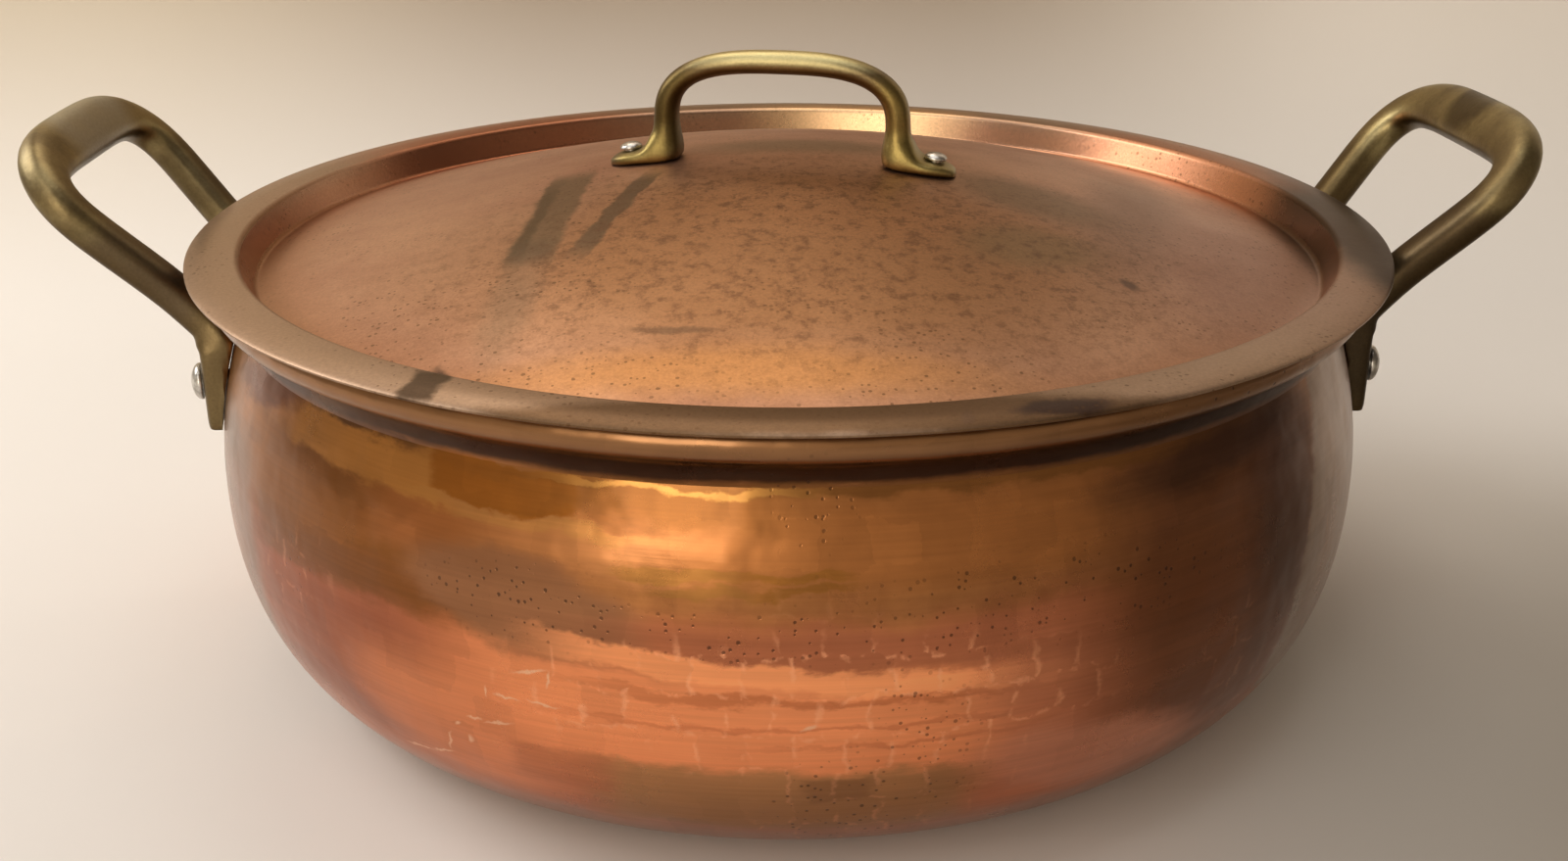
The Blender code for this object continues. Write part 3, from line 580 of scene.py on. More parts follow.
dull = add_node(tree, "MapRange", [tint_cloud, 0.3, 0.7, 0.24, 0.36])
dimples = add_node(tree, "TexNoise", {"Vector": millimetres, "Scale": 0.9 / MARK_WIDTH, "Detail": 1.5})
dish_bump = add_node(tree, "Bump", {"Height": dimples, "Strength": 1.0, "Distance": 0.00045})
line_bump = add_node(tree, "Bump", {"Height": lines, "Strength": 0.25, "Distance": 0.00004,
                                    "Normal": dish_bump})
pit_bump = add_node(tree, "Bump", {"Height": pitted, "Strength": 0.4, "Distance": 0.0002,
                                   "Normal": line_bump}, invert=True)
feed(shader, {"Base Color": colour, "Roughness": dull, "Normal": pit_bump, "Coat Normal": pit_bump})

pot_copper.data.materials.append(copper)
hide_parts("pot_body")
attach(pot_copper, "pot")

# The pot's tin lining
# A thin coat of pure tin, wiped over the inside of the copper while hot. It keeps the soft round
# strokes of the wiping pad.

TIN = 0.0004
GAP = 0.0003

inside = inner_wall()[1:]
pot_tin_profile = offset_path(inside, GAP + TIN)[::-1] + offset_path(inside, GAP)
pot_tin = turn_piece("pot_tin_lining", pot_tin_profile, TURN_STEPS)

# Wiped tin, a soft grey-white metal. The strokes run round the pot, and food has greyed it in clouds.
tin, tree, shader, where = start_finish("wiped_tin", 0.4, 1.0)
clouds = add_node(tree, "TexNoise", {"Vector": where, "Scale": 32.0, "Detail": 6.0, "Roughness": 0.6})
colour = clouded(tree, clouds, 0.35, 0.65, "#a9a7a3", "#d2d0cb")
height = add_node(tree, "SeparateXYZ", [where]).outputs["Z"]
run = add_node(tree, "Math", [from_axis(tree, where), height], operation="ADD")
sweep = add_node(tree, "CombineXYZ", [run, clouds])
strokes = drawn_out(tree, sweep, (520.0, 1.2, 1.0), 4.0, 0.5)
colour = toned(tree, colour, strokes, 0.3, 0.7, 0.90, 1.05)
rubbing = add_node(tree, "MapRange", [strokes, 0.0, 1.0, 0.30, 0.52])
stroke_bump = add_node(tree, "Bump", {"Height": strokes, "Strength": 0.3, "Distance": 0.0001})
feed(shader, {"Base Color": colour, "Roughness": rubbing, "Normal": stroke_bump})

pot_tin.data.materials.append(tin)
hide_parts("pot_lining")
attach(pot_tin, "pot")

# The side handles
# Two loops cast in brass, each on two upright feet that are fitted to the wall. The loop rises
# outwards and broadens to a flat grip. The casting was dressed smooth and has aged to olive brown.

LOOP_TILT = math.radians(48.4)
LOOP_START_HEIGHT = 0.0956
LOOP_SETBACK = 0.0033
LOOP_REACH = 0.0503
LOOP_STRAIGHT = 0.0220
LOOP_HALF_WIDTH = 0.0380
LOOP_SQUARENESS = 4.0
ARM_WIDTH = 0.0108
ARM_DEPTH = 0.0092
ARM_SQUARENESS = 2.6
GRIP_WIDTH = 0.0145
GRIP_DEPTH = 0.0088
FOOT_SPREAD = 0.0300
FOOT_THICKNESS = 0.0057
FOOT_WIDTH = 0.0130
FOOT_DEPTH = 0.0100
FOOT_BOTTOM = 0.0666
FOOT_BEND = 0.0110
FOOT_SQUARENESS = 5.0
TOE_HEIGHT = 0.0018
TOE_SHARE = 0.92
BEND_STEPS = 8
LOOP_STEPS = 22
BAR_SIDES = 16
RIVET_HEIGHT = 0.0780
HANDLE_TURNS = {"right": math.radians(0.78), "left": math.radians(179.22)}
FOOT_FACE = wall_radius(RIVET_HEIGHT) + FOOT_THICKNESS
FOOT_TURN = math.asin(FOOT_SPREAD / FOOT_FACE)


def foot_stations():
    """One upright foot of a side handle, from its bottom up to the start of the arm."""
    outward = Vector((math.cos(FOOT_TURN), math.sin(FOOT_TURN), 0.0))
    foot = outward * (FOOT_FACE - FOOT_DEPTH / 2)
    bend_angle = math.pi / 2 - LOOP_TILT
    bend_out = foot.x + FOOT_BEND * (1.0 - math.cos(bend_angle))
    loop_start = FOOT_FACE - LOOP_SETBACK
    bend_end = LOOP_START_HEIGHT + (bend_out - loop_start) * math.tan(LOOP_TILT)
    bend_start = bend_end - FOOT_BEND * math.sin(bend_angle)
    stations = []
    for share in (0.0, 0.12, 0.35, 1.0, 2.2, 4.0):
        size = blend(TOE_SHARE, 1.0, math.sqrt(min(share, 1.0)))
        centre = Vector((foot.x, foot.y, FOOT_BOTTOM + TOE_HEIGHT * share))
        stations.append((centre, outward, FOOT_WIDTH * size, FOOT_DEPTH * size, FOOT_SQUARENESS))
    for step in range(BEND_STEPS + 1):
        share = step / BEND_STEPS
        angle = bend_angle * share
        centre = Vector((foot.x + FOOT_BEND * (1.0 - math.cos(angle)), foot.y,
                         bend_start + FOOT_BEND * math.sin(angle)))
        facing = Vector((math.cos(angle), 0.0, -math.sin(angle)))
        facing = outward.lerp(facing, ease(2.0 * share)).normalized()
        width = blend(FOOT_WIDTH, ARM_WIDTH, ease(share))
        depth = blend(FOOT_DEPTH, ARM_DEPTH, ease(share))
        squareness = blend(FOOT_SQUARENESS, ARM_SQUARENESS, ease(share))
        stations.append((centre, facing, width, depth, squareness))
    return stations


def loop_stations():
    """Half of the loop, from the start of an arm round to the middle of the grip."""
    rise = Vector((math.cos(LOOP_TILT), 0.0, math.sin(LOOP_TILT)))
    facing = Vector((math.sin(LOOP_TILT), 0.0, -math.cos(LOOP_TILT)))
    start = Vector((FOOT_FACE - LOOP_SETBACK, 0.0, LOOP_START_HEIGHT))
    foot_side = FOOT_SPREAD * (1.0 - FOOT_DEPTH / 2 / FOOT_FACE)
    places = [(LOOP_STRAIGHT * share, 0.0) for share in (0.25, 0.5, 0.75)]
    for step in range(LOOP_STEPS + 1):
        angle = math.pi / 2 * step / LOOP_STEPS
        reach = blend(LOOP_STRAIGHT, LOOP_REACH, math.sin(angle) ** (2.0 / LOOP_SQUARENESS))
        places.append((reach, angle))
    stations = []
    for reach, angle in places:
        spread = blend(foot_side, LOOP_HALF_WIDTH, ease(reach / LOOP_REACH * 1.2))
        side = spread * max(math.cos(angle), 0.0) ** (2.0 / LOOP_SQUARENESS)
        share = ease(angle / (math.pi / 2) * 1.4 - 0.4)
        width = blend(ARM_WIDTH, GRIP_WIDTH, share)
        depth = blend(ARM_DEPTH, GRIP_DEPTH, share)
        centre = start + rise * reach + Vector((0.0, side, 0.0))
        stations.append((centre, facing, width, depth, ARM_SQUARENESS))
    return stations


def both_halves(half):
    """Both halves of a handle that is symmetric about y = 0, with the axes of each section."""
    flip = Vector((1.0, -1.0, 1.0))
    other = [(centre * flip, facing * flip, *sizes) for centre, facing, *sizes in half[-2::-1]]
    stations = half + other
    finished = []
    for index, (centre, facing, *sizes) in enumerate(stations):
        before = stations[max(index - 1, 0)][0]
        after = stations[min(index + 1, len(stations) - 1)][0]
        along = (after - before).normalized()
        across = along.cross(facing).normalized()
        finished.append((centre, across, across.cross(along), *sizes))
    return finished


def set_section(piece, station):
    """Sets the corners of the selected end face to a rounded section at its station."""
    centre, across, through, width, depth, squareness = station
    work = bmesh.from_edit_mesh(piece.data)
    end = next(face for face in work.faces if face.select)
    corners = list(end.verts)
    for index, corner in enumerate(corners):
        angle = math.tau * (index + 0.5) / len(corners)
        wide = math.copysign(abs(math.cos(angle)) ** (2.0 / squareness), math.cos(angle))
        deep = math.copysign(abs(math.sin(angle)) ** (2.0 / squareness), math.sin(angle))
        corner.co = centre + across * (wide * width / 2) + through * (deep * depth / 2)
    bmesh.update_edit_mesh(piece.data)


def draw_bar(name, stations, levels):
    """A bar that is extruded from section to section, then smoothed by subdivision."""
    bpy.ops.object.select_all(action="DESELECT")
    bpy.ops.mesh.primitive_circle_add(vertices=BAR_SIDES, radius=stations[0][3] / 2, fill_type="NGON",
                                      location=stations[0][0])
    piece = open_piece(name, "FACE")
    set_section(piece, stations[0])
    for station in stations[1:]:
        bpy.ops.mesh.extrude_region_move()
        set_section(piece, station)
    bpy.ops.mesh.select_all(action="SELECT")
    bpy.ops.mesh.normals_make_consistent(inside=False)
    bpy.ops.object.mode_set(mode="OBJECT")
    smoother = piece.modifiers.new("Smooth", "SUBSURF")
    smoother.levels = levels
    smoother.render_levels = levels
    bpy.ops.object.modifier_apply(modifier=smoother.name)
    bpy.ops.object.shade_smooth()
    return piece


def turn_about_axis(piece, angle):
    """Turns a piece round the upright axis, in its mesh."""
    piece.data.transform(Matrix.Rotation(angle, 4, "Z"))
    piece.data.update()


# Cast brass, dressed with files and cloth and then left. It is a satin olive brown with darker
# clouds of handling, and darker low on the arms, at the feet and on the bow's legs. A painted highlight
# brightens the top of the bow, a painted reflection of the pale room lightens the top of the left grip,
# and painted shade darkens the right handle and every face that looks down, most of all under the
# grips. Each patch, a stain or painted light and shade, is its colour, its middle and its reach in
# metres, and how strongly it covers. Their edges are ragged by up to half of BRASS_RAGGED either way.
BRASS_RAGGED = 0.012
BRASS_STAINS_AND_LIGHT = (
    # The first four darken the right handle with painted shade; it faces away from the light.
    ("#4d3f2e", (0.159, -0.036, 0.110), 0.015, 0.85),
    ("#40362a", (0.149, -0.032, 0.084), 0.017, 0.85),
    ("#57472e", (0.157, 0.034, 0.108), 0.014, 0.70),
    ("#43372a", (0.181, 0.004, 0.138), 0.010, 0.75),
    # A painted reflection of the pale room on top of the left grip.
    ("#a9a495", (-0.177, 0.008, 0.139), 0.020, 0.80),
    ("#6b5c48", (-0.156, -0.036, 0.106), 0.014, 0.80),
    ("#524530", (-0.160, 0.036, 0.114), 0.012, 0.70),
    ("#5c4d29", (-0.033, 0.003, 0.140), 0.012, 0.75),
    ("#8e7944", (0.031, -0.009, 0.138), 0.012, 0.75),
    ("#93814c", (-0.038, 0.004, 0.1265), 0.008, 0.75),
    ("#93814c", (0.033, -0.011, 0.1265), 0.008, 0.75),
)
brass, tree, shader, where = start_finish("aged_cast_brass", 0.42, 1.0)
clouds = add_node(tree, "TexNoise", {"Vector": where, "Scale": 42.0, "Detail": 5.0, "Roughness": 0.55})
colour = clouded(tree, clouds, 0.38, 0.60, "#7a6a4a", "#a19268")
height = add_node(tree, "SeparateXYZ", [where]).outputs["Z"]
low_arm = add_node(tree, "MapRange", [height, 0.119, 0.096, 0.0, 0.85])
on_bow = add_node(tree, "MapRange", [from_axis(tree, where), 0.080, 0.060, 0.0, 0.95])
bow_leg = add_node(tree, "MapRange", [height, 0.1265, 0.1300])
bow_leg = add_node(tree, "Math", [bow_leg, on_bow], operation="MULTIPLY")
darker = add_node(tree, "Math", [low_arm, bow_leg], operation="MAXIMUM")
dark_clouds = add_node(tree, "TexNoise", {"Vector": where, "Scale": 70.0, "Detail": 4.0, "Roughness": 0.6})
darkened = add_node(tree, "MapRange", [dark_clouds, 0.54, 0.70, 0.0, 0.50])
for cover, paint in ((darker, "#6e5c40"), (darkened, "#4a3a26")):
    colour = add_node(tree, "Mix", {0: cover, 6: colour, 7: paint}, data_type="RGBA")
ragged = add_node(tree, "VectorMath", [clouds.outputs["Color"], [BRASS_RAGGED] * 3, where],
                  operation="MULTIPLY_ADD")
for stain_and_light_colour, middle, reach, strength in BRASS_STAINS_AND_LIGHT:
    shifted = [part + BRASS_RAGGED / 2 for part in middle]
    away = add_node(tree, "VectorMath", [ragged, shifted], operation="DISTANCE")
    cover = add_node(tree, "MapRange", [away, reach * 1.3, reach * 0.7, 0.0, strength],
                     interpolation_type="SMOOTHSTEP")
    colour = add_node(tree, "Mix", {0: cover, 6: colour, 7: stain_and_light_colour}, data_type="RGBA")
# Painted shade on every face that looks down, most of all under the grips.
facing = add_node(tree, "NewGeometry").outputs["Normal"]
facing_up = add_node(tree, "SeparateXYZ", [facing]).outputs["Z"]
painted_underside_shade = add_node(tree, "MapRange", [facing_up, 0.0, -0.55, 0.0, 0.85])
# A painted highlight along the top of the bow.
painted_bow_highlight = add_node(tree, "MapRange", [height, 0.1485, 0.1520, 0.0, 0.85])
for cover, paint in ((painted_underside_shade, "#4a3a20"), (painted_bow_highlight, "#cdc08c")):
    colour = add_node(tree, "Mix", {0: cover, 6: colour, 7: paint}, data_type="RGBA")
specks = add_node(tree, "TexNoise", {"Vector": where, "Scale": 1400.0, "Detail": 3.0})
colour = toned(tree, colour, specks, 0.3, 0.7, 0.90, 1.08)
satin = add_node(tree, "MapRange", [clouds, 0.3, 0.7, 0.46, 0.34])
waves = add_node(tree, "TexNoise", {"Vector": where, "Scale": 120.0, "Detail": 2.0})
wave_bump = add_node(tree, "Bump", {"Height": waves, "Strength": 0.25, "Distance": 0.0006})
grain_bump = add_node(tree, "Bump", {"Height": specks, "Strength": 0.4, "Distance": 0.00012,
                                     "Normal": wave_bump})
feed(shader, {"Base Color": colour, "Roughness": satin, "Normal": grain_bump})

for side, turn_angle in HANDLE_TURNS.items():
    handle = draw_bar(side + "_loop_handle", both_halves(foot_stations() + loop_stations()), 1)
    turn_about_axis(handle, turn_angle)
    for corner in handle.data.vertices:
        level_radius = math.hypot(corner.co.x, corner.co.y)
        seat = wall_radius(min(max(corner.co.z, BELLY_HEIGHT), NECK_HEIGHT)) + GAP
        if level_radius < seat and corner.co.z < NECK_HEIGHT:
            corner.co.x *= seat / level_radius
            corner.co.y *= seat / level_radius
    handle.data.update()
    handle.data.materials.append(brass)
    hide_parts(side + "_handle")
    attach(handle, "pot")

# The side rivets
# Four rivets of a light metal, one through each foot. The dome outside was set with a snap, and the
# inner end was hammered flat against the tin.

RIVET_HEAD_RADIUS = 0.0046
RIVET_HEAD_HEIGHT = 0.0026
RIVET_SHANK_RADIUS = 0.0025
RIVET_CLENCH_RADIUS = 0.0042
RIVET_CLENCH_HEIGHT = 0.0012
RIVET_EDGE = 0.12
RIVET_DOME_STEPS = 8
RIVET_TURN_STEPS = 48


def rivet_profile(head, height, shank, base, inner, clench, clench_height):
    """Domed head, shank and hammered end of a rivet, with heights along its axis."""
    dome = [(0.0, base + height)]
    for step in range(1, RIVET_DOME_STEPS):
        angle = math.pi / 2 * step / RIVET_DOME_STEPS
        dome.append((head * math.sin(angle), base + height * blend(RIVET_EDGE, 1.0, math.cos(angle))))
    dome += [(head, base + height * RIVET_EDGE), (head * 0.97, base), (shank, base), (shank, inner)]
    dome += [(clench, inner), (clench, inner - clench_height * 0.6)]
    return dome + [(clench * 0.75, inner - clench_height), (0.0, inner - clench_height)]


# Light rivet metal, wire that was upset and polished by use. It has a soft grey sheen, pitted and
# dulled in small clouds where dirt stays.
rivet_metal, tree, shader, where = start_finish("upset_light_rivet_metal", 0.3, 1.0)
dirt = add_node(tree, "TexNoise", {"Vector": where, "Scale": 420.0, "Detail": 4.0, "Roughness": 0.6})
colour = clouded(tree, dirt, 0.38, 0.62, "#9c9790", "#d9d6d0")
dulled = add_node(tree, "MapRange", [dirt, 0.0, 1.0, 0.22, 0.42])
rivet_bump = add_node(tree, "Bump", {"Height": dirt, "Strength": 0.25, "Distance": 0.0002})
feed(shader, {"Base Color": colour, "Roughness": dulled, "Normal": rivet_bump})

lining_face = wall_radius(RIVET_HEIGHT) - POT_WALL - 2 * GAP - TIN
side_profile = rivet_profile(RIVET_HEAD_RADIUS, RIVET_HEAD_HEIGHT, RIVET_SHANK_RADIUS,
                             FOOT_FACE + GAP, lining_face, RIVET_CLENCH_RADIUS, RIVET_CLENCH_HEIGHT)
side_rivets = {
    "right_front": HANDLE_TURNS["right"] - FOOT_TURN,
    "right_rear": HANDLE_TURNS["right"] + FOOT_TURN,
    "left_front": HANDLE_TURNS["left"] + FOOT_TURN,
    "left_rear": HANDLE_TURNS["left"] - FOOT_TURN,
}
for name, angle in side_rivets.items():
    rivet = turn_piece("side_rivet_" + name, side_profile, RIVET_TURN_STEPS)
    lie_down = Matrix.Rotation(angle, 4, "Z") @ Matrix.Rotation(math.pi / 2, 4, "Y")
    rivet.data.transform(Matrix.Translation((0.0, 0.0, RIVET_HEIGHT)) @ lie_down)
    rivet.data.update()
    rivet.data.materials.append(rivet_metal)
    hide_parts("rivet_" + name)
    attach(rivet, "pot")

# The lid's copper
# One sheet of copper, 1.3 mm thick, domed and sunk inside a collar that drops into the mouth. Its
# flat flange rests on the pot's rolled lip. It is satin, stained by drips, and speckled.

LID_RADIUS = 0.1500
LID_SHEET = 0.0013
FLANGE_TOP = 0.0015
FLANGE_FALL = 0.0007
CREST_RADIUS = 0.1370
CREST_ROUND = 0.0018
GUTTER_RADIUS = 0.1334
GUTTER_DEPTH = 0.0064
GUTTER_ROUND = 0.0014
CORNER_LEAN = math.radians(12)
DOME_TOP = 0.0176
DOME_POWER = 1.6
LID_TURN = math.radians(-13.45)
CORNER_STEPS = 8
DOME_STEPS = 30


def dome_height(radius):
    """Height of the lid's top side over the edge of its flange."""
    return DOME_TOP - (DOME_TOP + GUTTER_DEPTH) * (radius / GUTTER_RADIUS) ** DOME_POWER


def lid_top():
    """Top side of the lid: dome, gutter, collar and crest, from the middle outwards."""
    path = [(0.0, dome_height(0.0))]
    for step in range(1, DOME_STEPS):
        radius = GUTTER_RADIUS * step / DOME_STEPS
        path.append((radius, dome_height(radius)))
    gutter = (GUTTER_RADIUS, GUTTER_ROUND - GUTTER_DEPTH)
    crest = (CREST_RADIUS + CREST_ROUND, FLANGE_TOP - CREST_ROUND)
    path += arc(gutter, GUTTER_ROUND, -math.pi / 2, -CORNER_LEAN, CORNER_STEPS)
    return path + arc(crest, CREST_ROUND, math.pi - CORNER_LEAN, math.pi / 2, CORNER_STEPS)


def raised(path):
    """Heights counted from the lid's flange, as heights above the table."""
    return [(radius, height + RIM_HEIGHT) for radius, height in path]


flange_middle = (blend(CREST_RADIUS, LID_RADIUS, 0.5), FLANGE_TOP - FLANGE_FALL * 0.2)
flange_edge = (LID_RADIUS - LID_SHEET / 2, FLANGE_TOP - FLANGE_FALL)
top_side = lid_top() + [flange_middle, flange_edge]
edge_top = FLANGE_TOP - FLANGE_FALL - LID_SHEET * 0.35
edge_line = [(LID_RADIUS, edge_top), (LID_RADIUS, edge_top - LID_SHEET * 0.3)]
underside = offset_path(top_side, LID_SHEET)[::-1]
lid_copper = turn_piece("lid_copper_shell", raised(top_side + edge_line + underside), TURN_STEPS)

# Sunk and planished copper, rubbed satin. Drips have left grey-brown streaks, and the front is
# mottled and finely speckled. A painted highlight lies low on the front of the dome and another on the
# back of the collar, painted shadows lie round the bow, and painted reflections streak the collar at
# the back left.
LID_COPPER_BRIGHT = "#cba086"
LID_COPPER_DEEP = "#ac8069"

# Each patch, mostly stains and some painted highlights, shadows and reflections, is its colour, its
# middle and its half sizes in mm seen from above, its lean in degrees, how soft its edge is, how
# strongly it covers, and True where it is a squared patch.
LID_STAINS_AND_LIGHT = (
    ("#946a44", (0, -62), (80, 54), 0, 0.5, 0.85),
    ("#9a7464", (106, -44), (28, 50), 0, 0.6, 0.6),
    ("#a0724e", (10, -38), (42, 16), -10, 0.6, 0.5),
    ("#826848", (54, -54), (16, 11), 10, 0.5, 0.7),
    # A painted shadow beside the bow's right foot.
    ("#7f6850", (60, -20), (20, 13), -35, 0.5, 0.75),
    ("#7d5f4b", (87, -12), (10, 52), -16, 0.7, 0.55),
    # A painted highlight low on the front of the dome.
    ("#b88350", (-16, -111), (50, 8), -4, 0.6, 0.8),
    # A painted shadow behind the bow.
    ("#867058", (6, 14), (30, 10), 0, 0.6, 0.7),
    ("#756049", (-58.5, -26), (5.6, 30), -7, 0.2, 0.85, True),
    ("#54442f", (-62.4, -30), (1.7, 25), -7, 0.5, 0.65, True),
    ("#5f4f3f", (-62, -50), (5, 6), -10, 0.6, 0.5),
    ("#685440", (-43, -32), (2.5, 25), -19, 0.25, 0.9, True),
    ("#8a705a", (-64.5, -76), (5, 21), -5, 0.6, 0.55),
    ("#63482e", (0, -141.5), (96, 9), 0, 0.3, 0.85),
    ("#3f2d1f", (144, -34), (14, 100), 0, 0.4, 0.92),
    ("#403126", (-77, -106), (4.6, 7), 35, 0.25, 0.92, True),
    ("#4c3a2a", (-76.5, -122), (3.8, 6.5), -16, 0.25, 0.9, True),
    ("#41302a", (49, -120.5), (9, 3), 16, 0.3, 0.92),
    ("#41302a", (45, -139), (9, 3.4), 10, 0.3, 0.92),
    ("#6a5240", (26, -143), (1.4, 3), -4, 0.4, 0.7),
    ("#6a5240", (28, -126), (1.4, 2.6), -4, 0.4, 0.65),
    ("#63493a", (74, -68), (1.6, 3), 30, 0.4, 0.9),
    ("#6f543e", (-29, -95), (8.5, 1.2), -10, 0.55, 0.75),
    # Painted reflections streak the collar at the back left.
    ("#b06c4c", (-84, 102), (44, 17), 40, 0.5, 0.75),
    # A painted highlight on the back of the collar.
    ("#e6bd8e", (30, 131), (32, 9), -12, 0.5, 0.85),
    ("#b47c5c", (118, 64), (14, 40), 28, 0.5, 0.8),
)

satin_copper, tree, shader, where = start_finish("satin_lid_copper", 0.4, 1.0)
plan = add_node(tree, "VectorMath", {0: where, "Scale": MM_PER_M}, operation="SCALE")
ragged = roughen(tree, plan, plan, 11.0, 6.0, 17.0)
cloud = add_node(tree, "TexNoise", {"Vector": where, "Scale": 22.0, "Detail": 8.0, "Roughness": 0.62})
colour = clouded(tree, cloud, 0.34, 0.66, LID_COPPER_DEEP, LID_COPPER_BRIGHT)
radius = from_axis(tree, plan)
in_gutter = add_node(tree, "MapRange", [radius, 118.0, 130.0, 0.0, 0.6])
on_flange = add_node(tree, "MapRange", [radius, 136.0, 138.5, 0.0, 0.85])
for cover, paint in ((in_gutter, "#a97858"), (on_flange, "#a48c76")):
    colour = add_node(tree, "Mix", {0: cover, 6: colour, 7: paint}, data_type="RGBA")
for stain_and_light_colour, *patch in LID_STAINS_AND_LIGHT:
    cover = patch_cover(tree, ragged, *patch)
    colour = add_node(tree, "Mix", {0: cover, 6: colour, 7: stain_and_light_colour}, data_type="RGBA")

# Brown mottling of dried drips, in flecks of 1 to 5 mm, thickest before the bow.
mottle = add_node(tree, "TexNoise", {"Vector": plan, "Scale": 0.27, "Detail": 8.0, "Roughness": 0.76})
mottled = add_node(tree, "MapRange", [mottle, 0.49, 0.62])
before_bow = patch_cover(tree, plan, (5.0, -56.0), (84.0, 56.0), 0, 0.5, 0.70)
mottled = add_node(tree, "Math", [mottled, before_bow], operation="MULTIPLY")
speck = round_dots(tree, where, 760.0, 0.40, 0.42, 0.65)
swarm = add_node(tree, "TexNoise", {"Vector": where, "Scale": 30.0, "Detail": 3.0})
swarming = add_node(tree, "MapRange", [swarm, 0.40, 0.60])
speckled = add_node(tree, "Math", [speck, swarming], operation="MULTIPLY")
for cover, paint in ((mottled, "#664630"), (speckled, "#5c4028")):
    colour = add_node(tree, "Mix", {0: cover, 6: colour, 7: paint}, data_type="RGBA")
grain = add_node(tree, "TexNoise", {"Vector": plan, "Scale": 1.3, "Detail": 3.0, "Roughness": 0.7})
colour = toned(tree, colour, grain, 0.3, 0.7, 0.86, 1.12)
dull = add_node(tree, "MapRange", [cloud, 0.3, 0.7, 0.46, 0.36])
burnished = add_node(tree, "MapRange", [radius, 126.0, 135.0, 1.0, 0.65])
satin_flange = add_node(tree, "MapRange", [radius, 136.4, 137.6])
burnished = add_node(tree, "Math", [burnished, satin_flange], operation="MAXIMUM")
dull = add_node(tree, "Math", [dull, burnished], operation="MULTIPLY")
dents = add_node(tree, "TexNoise", {"Vector": where, "Scale": 45.0, "Detail": 1.0})
dent_bump = add_node(tree, "Bump", {"Height": dents, "Strength": 0.25, "Distance": 0.0008})
rub = add_node(tree, "TexNoise", {"Vector": where, "Scale": 700.0, "Detail": 2.0})
rub_bump = add_node(tree, "Bump", {"Height": rub, "Strength": 0.2, "Distance": 0.00008,
                                   "Normal": dent_bump})
feed(shader, {"Base Color": colour, "Roughness": dull, "Normal": rub_bump})

lid_copper.data.materials.append(satin_copper)
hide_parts("lid_shell")
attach(lid_copper, "lid")

# The lid's tin lining
# The same wiped tin as in the pot, over the underside of the dome and the collar.

lined = lid_top()[:-CORNER_STEPS]
lid_tin_profile = offset_path(lined, LID_SHEET + GAP) + offset_path(lined, LID_SHEET + GAP + TIN)[::-1]
lid_tin = turn_piece("lid_tin_lining", raised(lid_tin_profile), TURN_STEPS)
lid_tin.data.materials.append(tin)
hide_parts("lid_lining")
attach(lid_tin, "lid")

# The lid's bow
# A small bow cast in brass, with two splayed feet whose soles follow the dome. The legs are round,
# and the grip is a little flattened, with a painted highlight along its top.

BOW_SHIFT = -0.0019
BOW_HALF_WIDTH = 0.0300
BOW_TOP = 0.0410
BOW_SPRING = 0.0250
BOW_SQUARENESS = 2.8
BOW_SECTION = 2.3
BOW_GRIP_WIDTH = 0.0078
BOW_GRIP_DEPTH = 0.0060
BOW_LEG_WIDTH = 0.0088
BOW_LEG_DEPTH = 0.0064
BOW_ANKLE_HEIGHT = 0.0072
BOW_ANKLE_WIDTH = 0.0099
BOW_ANKLE_DEPTH = 0.0072
BOW_HEEL = 0.0296
BOW_HEEL_HEIGHT = 0.0026
BOW_HEEL_DEPTH = 0.0122
BOW_HEEL_PITCH = math.radians(50)
BOW_INSTEP = 0.0052
BOW_FOOT_TIP = 0.0450
BOW_FOOT_WIDTH = 0.0126
BOW_FOOT_DEPTH = 0.0034
BOW_FOOT_SQUARENESS = 3.0
BOW_TIP_ROUND = 0.0040
BOW_STEPS = 16
BOW_RIVET_SPREAD = 0.0392
LID_RIVET_HEAD_RADIUS = 0.0029
LID_RIVET_HEAD_HEIGHT = 0.0016
LID_RIVET_SHANK_RADIUS = 0.0016
LID_RIVET_CLENCH_RADIUS = 0.0027
LID_RIVET_CLENCH_HEIGHT = 0.0008


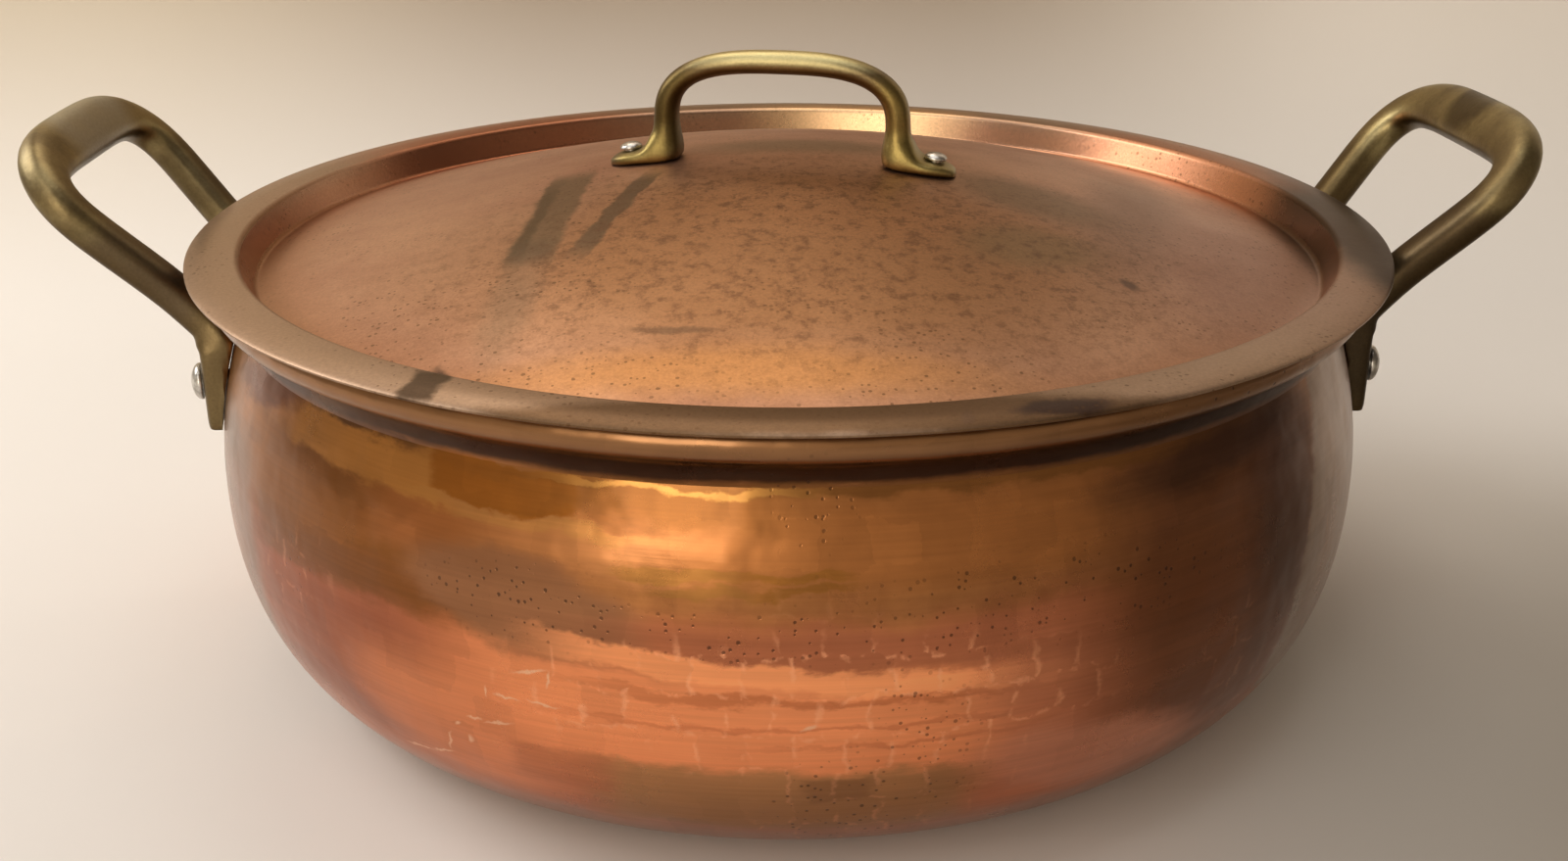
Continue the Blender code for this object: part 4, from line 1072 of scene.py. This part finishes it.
def bow_stations(side):
    """Half of the bow, from the tip of a foot up the leg to the middle of the grip."""
    shift = side * BOW_SHIFT
    sole = BOW_FOOT_DEPTH / 2 - GAP
    rows = [
        (BOW_FOOT_TIP, sole * 0.5, 0.0, 0.35, 0.6),
        (BOW_FOOT_TIP - BOW_TIP_ROUND * 0.3, sole * 0.8, 0.0, 0.62, 0.8),
        (BOW_FOOT_TIP - BOW_TIP_ROUND, sole, 0.0, 0.90, 1.1),
        (BOW_RIVET_SPREAD - LID_RIVET_SHANK_RADIUS, sole, 0.0, 1.0, 1.1),
        (BOW_HEEL + BOW_INSTEP, sole * 1.2, BOW_HEEL_PITCH / 4, 1.0, 1.4),
        (BOW_HEEL, BOW_HEEL_HEIGHT, BOW_HEEL_PITCH, 1.0, BOW_HEEL_DEPTH / BOW_FOOT_DEPTH),
    ]
    stations = []
    for place, rise, pitch, width, depth in rows:
        facing = Vector((math.sin(pitch), 0.0, math.cos(pitch)))
        centre = Vector((place, 0.0, dome_height(place + shift) + rise))
        sizes = (BOW_FOOT_WIDTH * width, BOW_FOOT_DEPTH * depth, BOW_FOOT_SQUARENESS)
        stations.append((centre, facing, *sizes))
    ankle = Vector((BOW_HALF_WIDTH, 0.0, dome_height(BOW_HEEL + shift) + BOW_ANKLE_HEIGHT))
    stations.append((ankle, Vector((1.0, 0.0, 0.0)), BOW_ANKLE_WIDTH, BOW_ANKLE_DEPTH, BOW_SECTION))
    power = 2.0 / BOW_SQUARENESS
    for step in range(BOW_STEPS + 1):
        angle = math.pi / 2 * step / BOW_STEPS
        place = BOW_HALF_WIDTH * max(math.cos(angle), 0.0) ** power
        height = blend(BOW_SPRING, BOW_TOP, math.sin(angle) ** power)
        facing = Vector((math.cos(angle), 0.0, math.sin(angle)))
        width = blend(BOW_LEG_WIDTH, BOW_GRIP_WIDTH, ease(angle))
        depth = blend(BOW_LEG_DEPTH, BOW_GRIP_DEPTH, ease(angle))
        stations.append((Vector((place, 0.0, height)), facing, width, depth, BOW_SECTION))
    return stations


flip = Vector((-1.0, 1.0, 1.0))
left_half = [(centre * flip, facing * flip, *sizes) for centre, facing, *sizes in bow_stations(-1.0)]
depth_way = Vector((0.0, 1.0, 0.0))
bow_line = [(centre, depth_way, facing, *sizes)
            for centre, facing, *sizes in bow_stations(1.0) + left_half[-2::-1]]
bow = draw_bar("lid_bow_handle", bow_line, 2)
for corner in bow.data.vertices:
    corner.co.x += BOW_SHIFT
    seat = dome_height(math.hypot(corner.co.x, corner.co.y)) + GAP
    corner.co.z = max(corner.co.z, seat)
lid_place = Matrix.Translation((0.0, 0.0, RIM_HEIGHT)) @ Matrix.Rotation(LID_TURN, 4, "Z")
bow.data.transform(lid_place)
bow.data.update()
bow.data.materials.append(brass)
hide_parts("lid_handle")
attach(bow, "lid")

# The bow's rivets
# Two small rivets of the same light metal, one through each foot of the bow, standing square to the
# dome.

seat_height = BOW_FOOT_DEPTH + GAP
lid_through = LID_SHEET + 2 * GAP + TIN
lid_rivet_line = rivet_profile(LID_RIVET_HEAD_RADIUS, LID_RIVET_HEAD_HEIGHT, LID_RIVET_SHANK_RADIUS,
                               seat_height, -lid_through, LID_RIVET_CLENCH_RADIUS,
                               LID_RIVET_CLENCH_HEIGHT)
for name, side in (("left", -1.0), ("right", 1.0)):
    radius = BOW_RIVET_SPREAD + side * BOW_SHIFT
    fall = (DOME_TOP + GUTTER_DEPTH) * DOME_POWER / GUTTER_RADIUS
    slope = math.atan(fall * (radius / GUTTER_RADIUS) ** (DOME_POWER - 1.0))
    rivet = turn_piece("bow_rivet_" + name, lid_rivet_line, RIVET_TURN_STEPS)
    stand = Matrix.Translation((side * radius, 0.0, dome_height(radius)))
    lean = Matrix.Rotation(side * slope, 4, "Y")
    rivet.data.transform(lid_place @ stand @ lean)
    rivet.data.update()
    rivet.data.materials.append(rivet_metal)
    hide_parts("lid_rivet_" + name)
    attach(rivet, "lid")
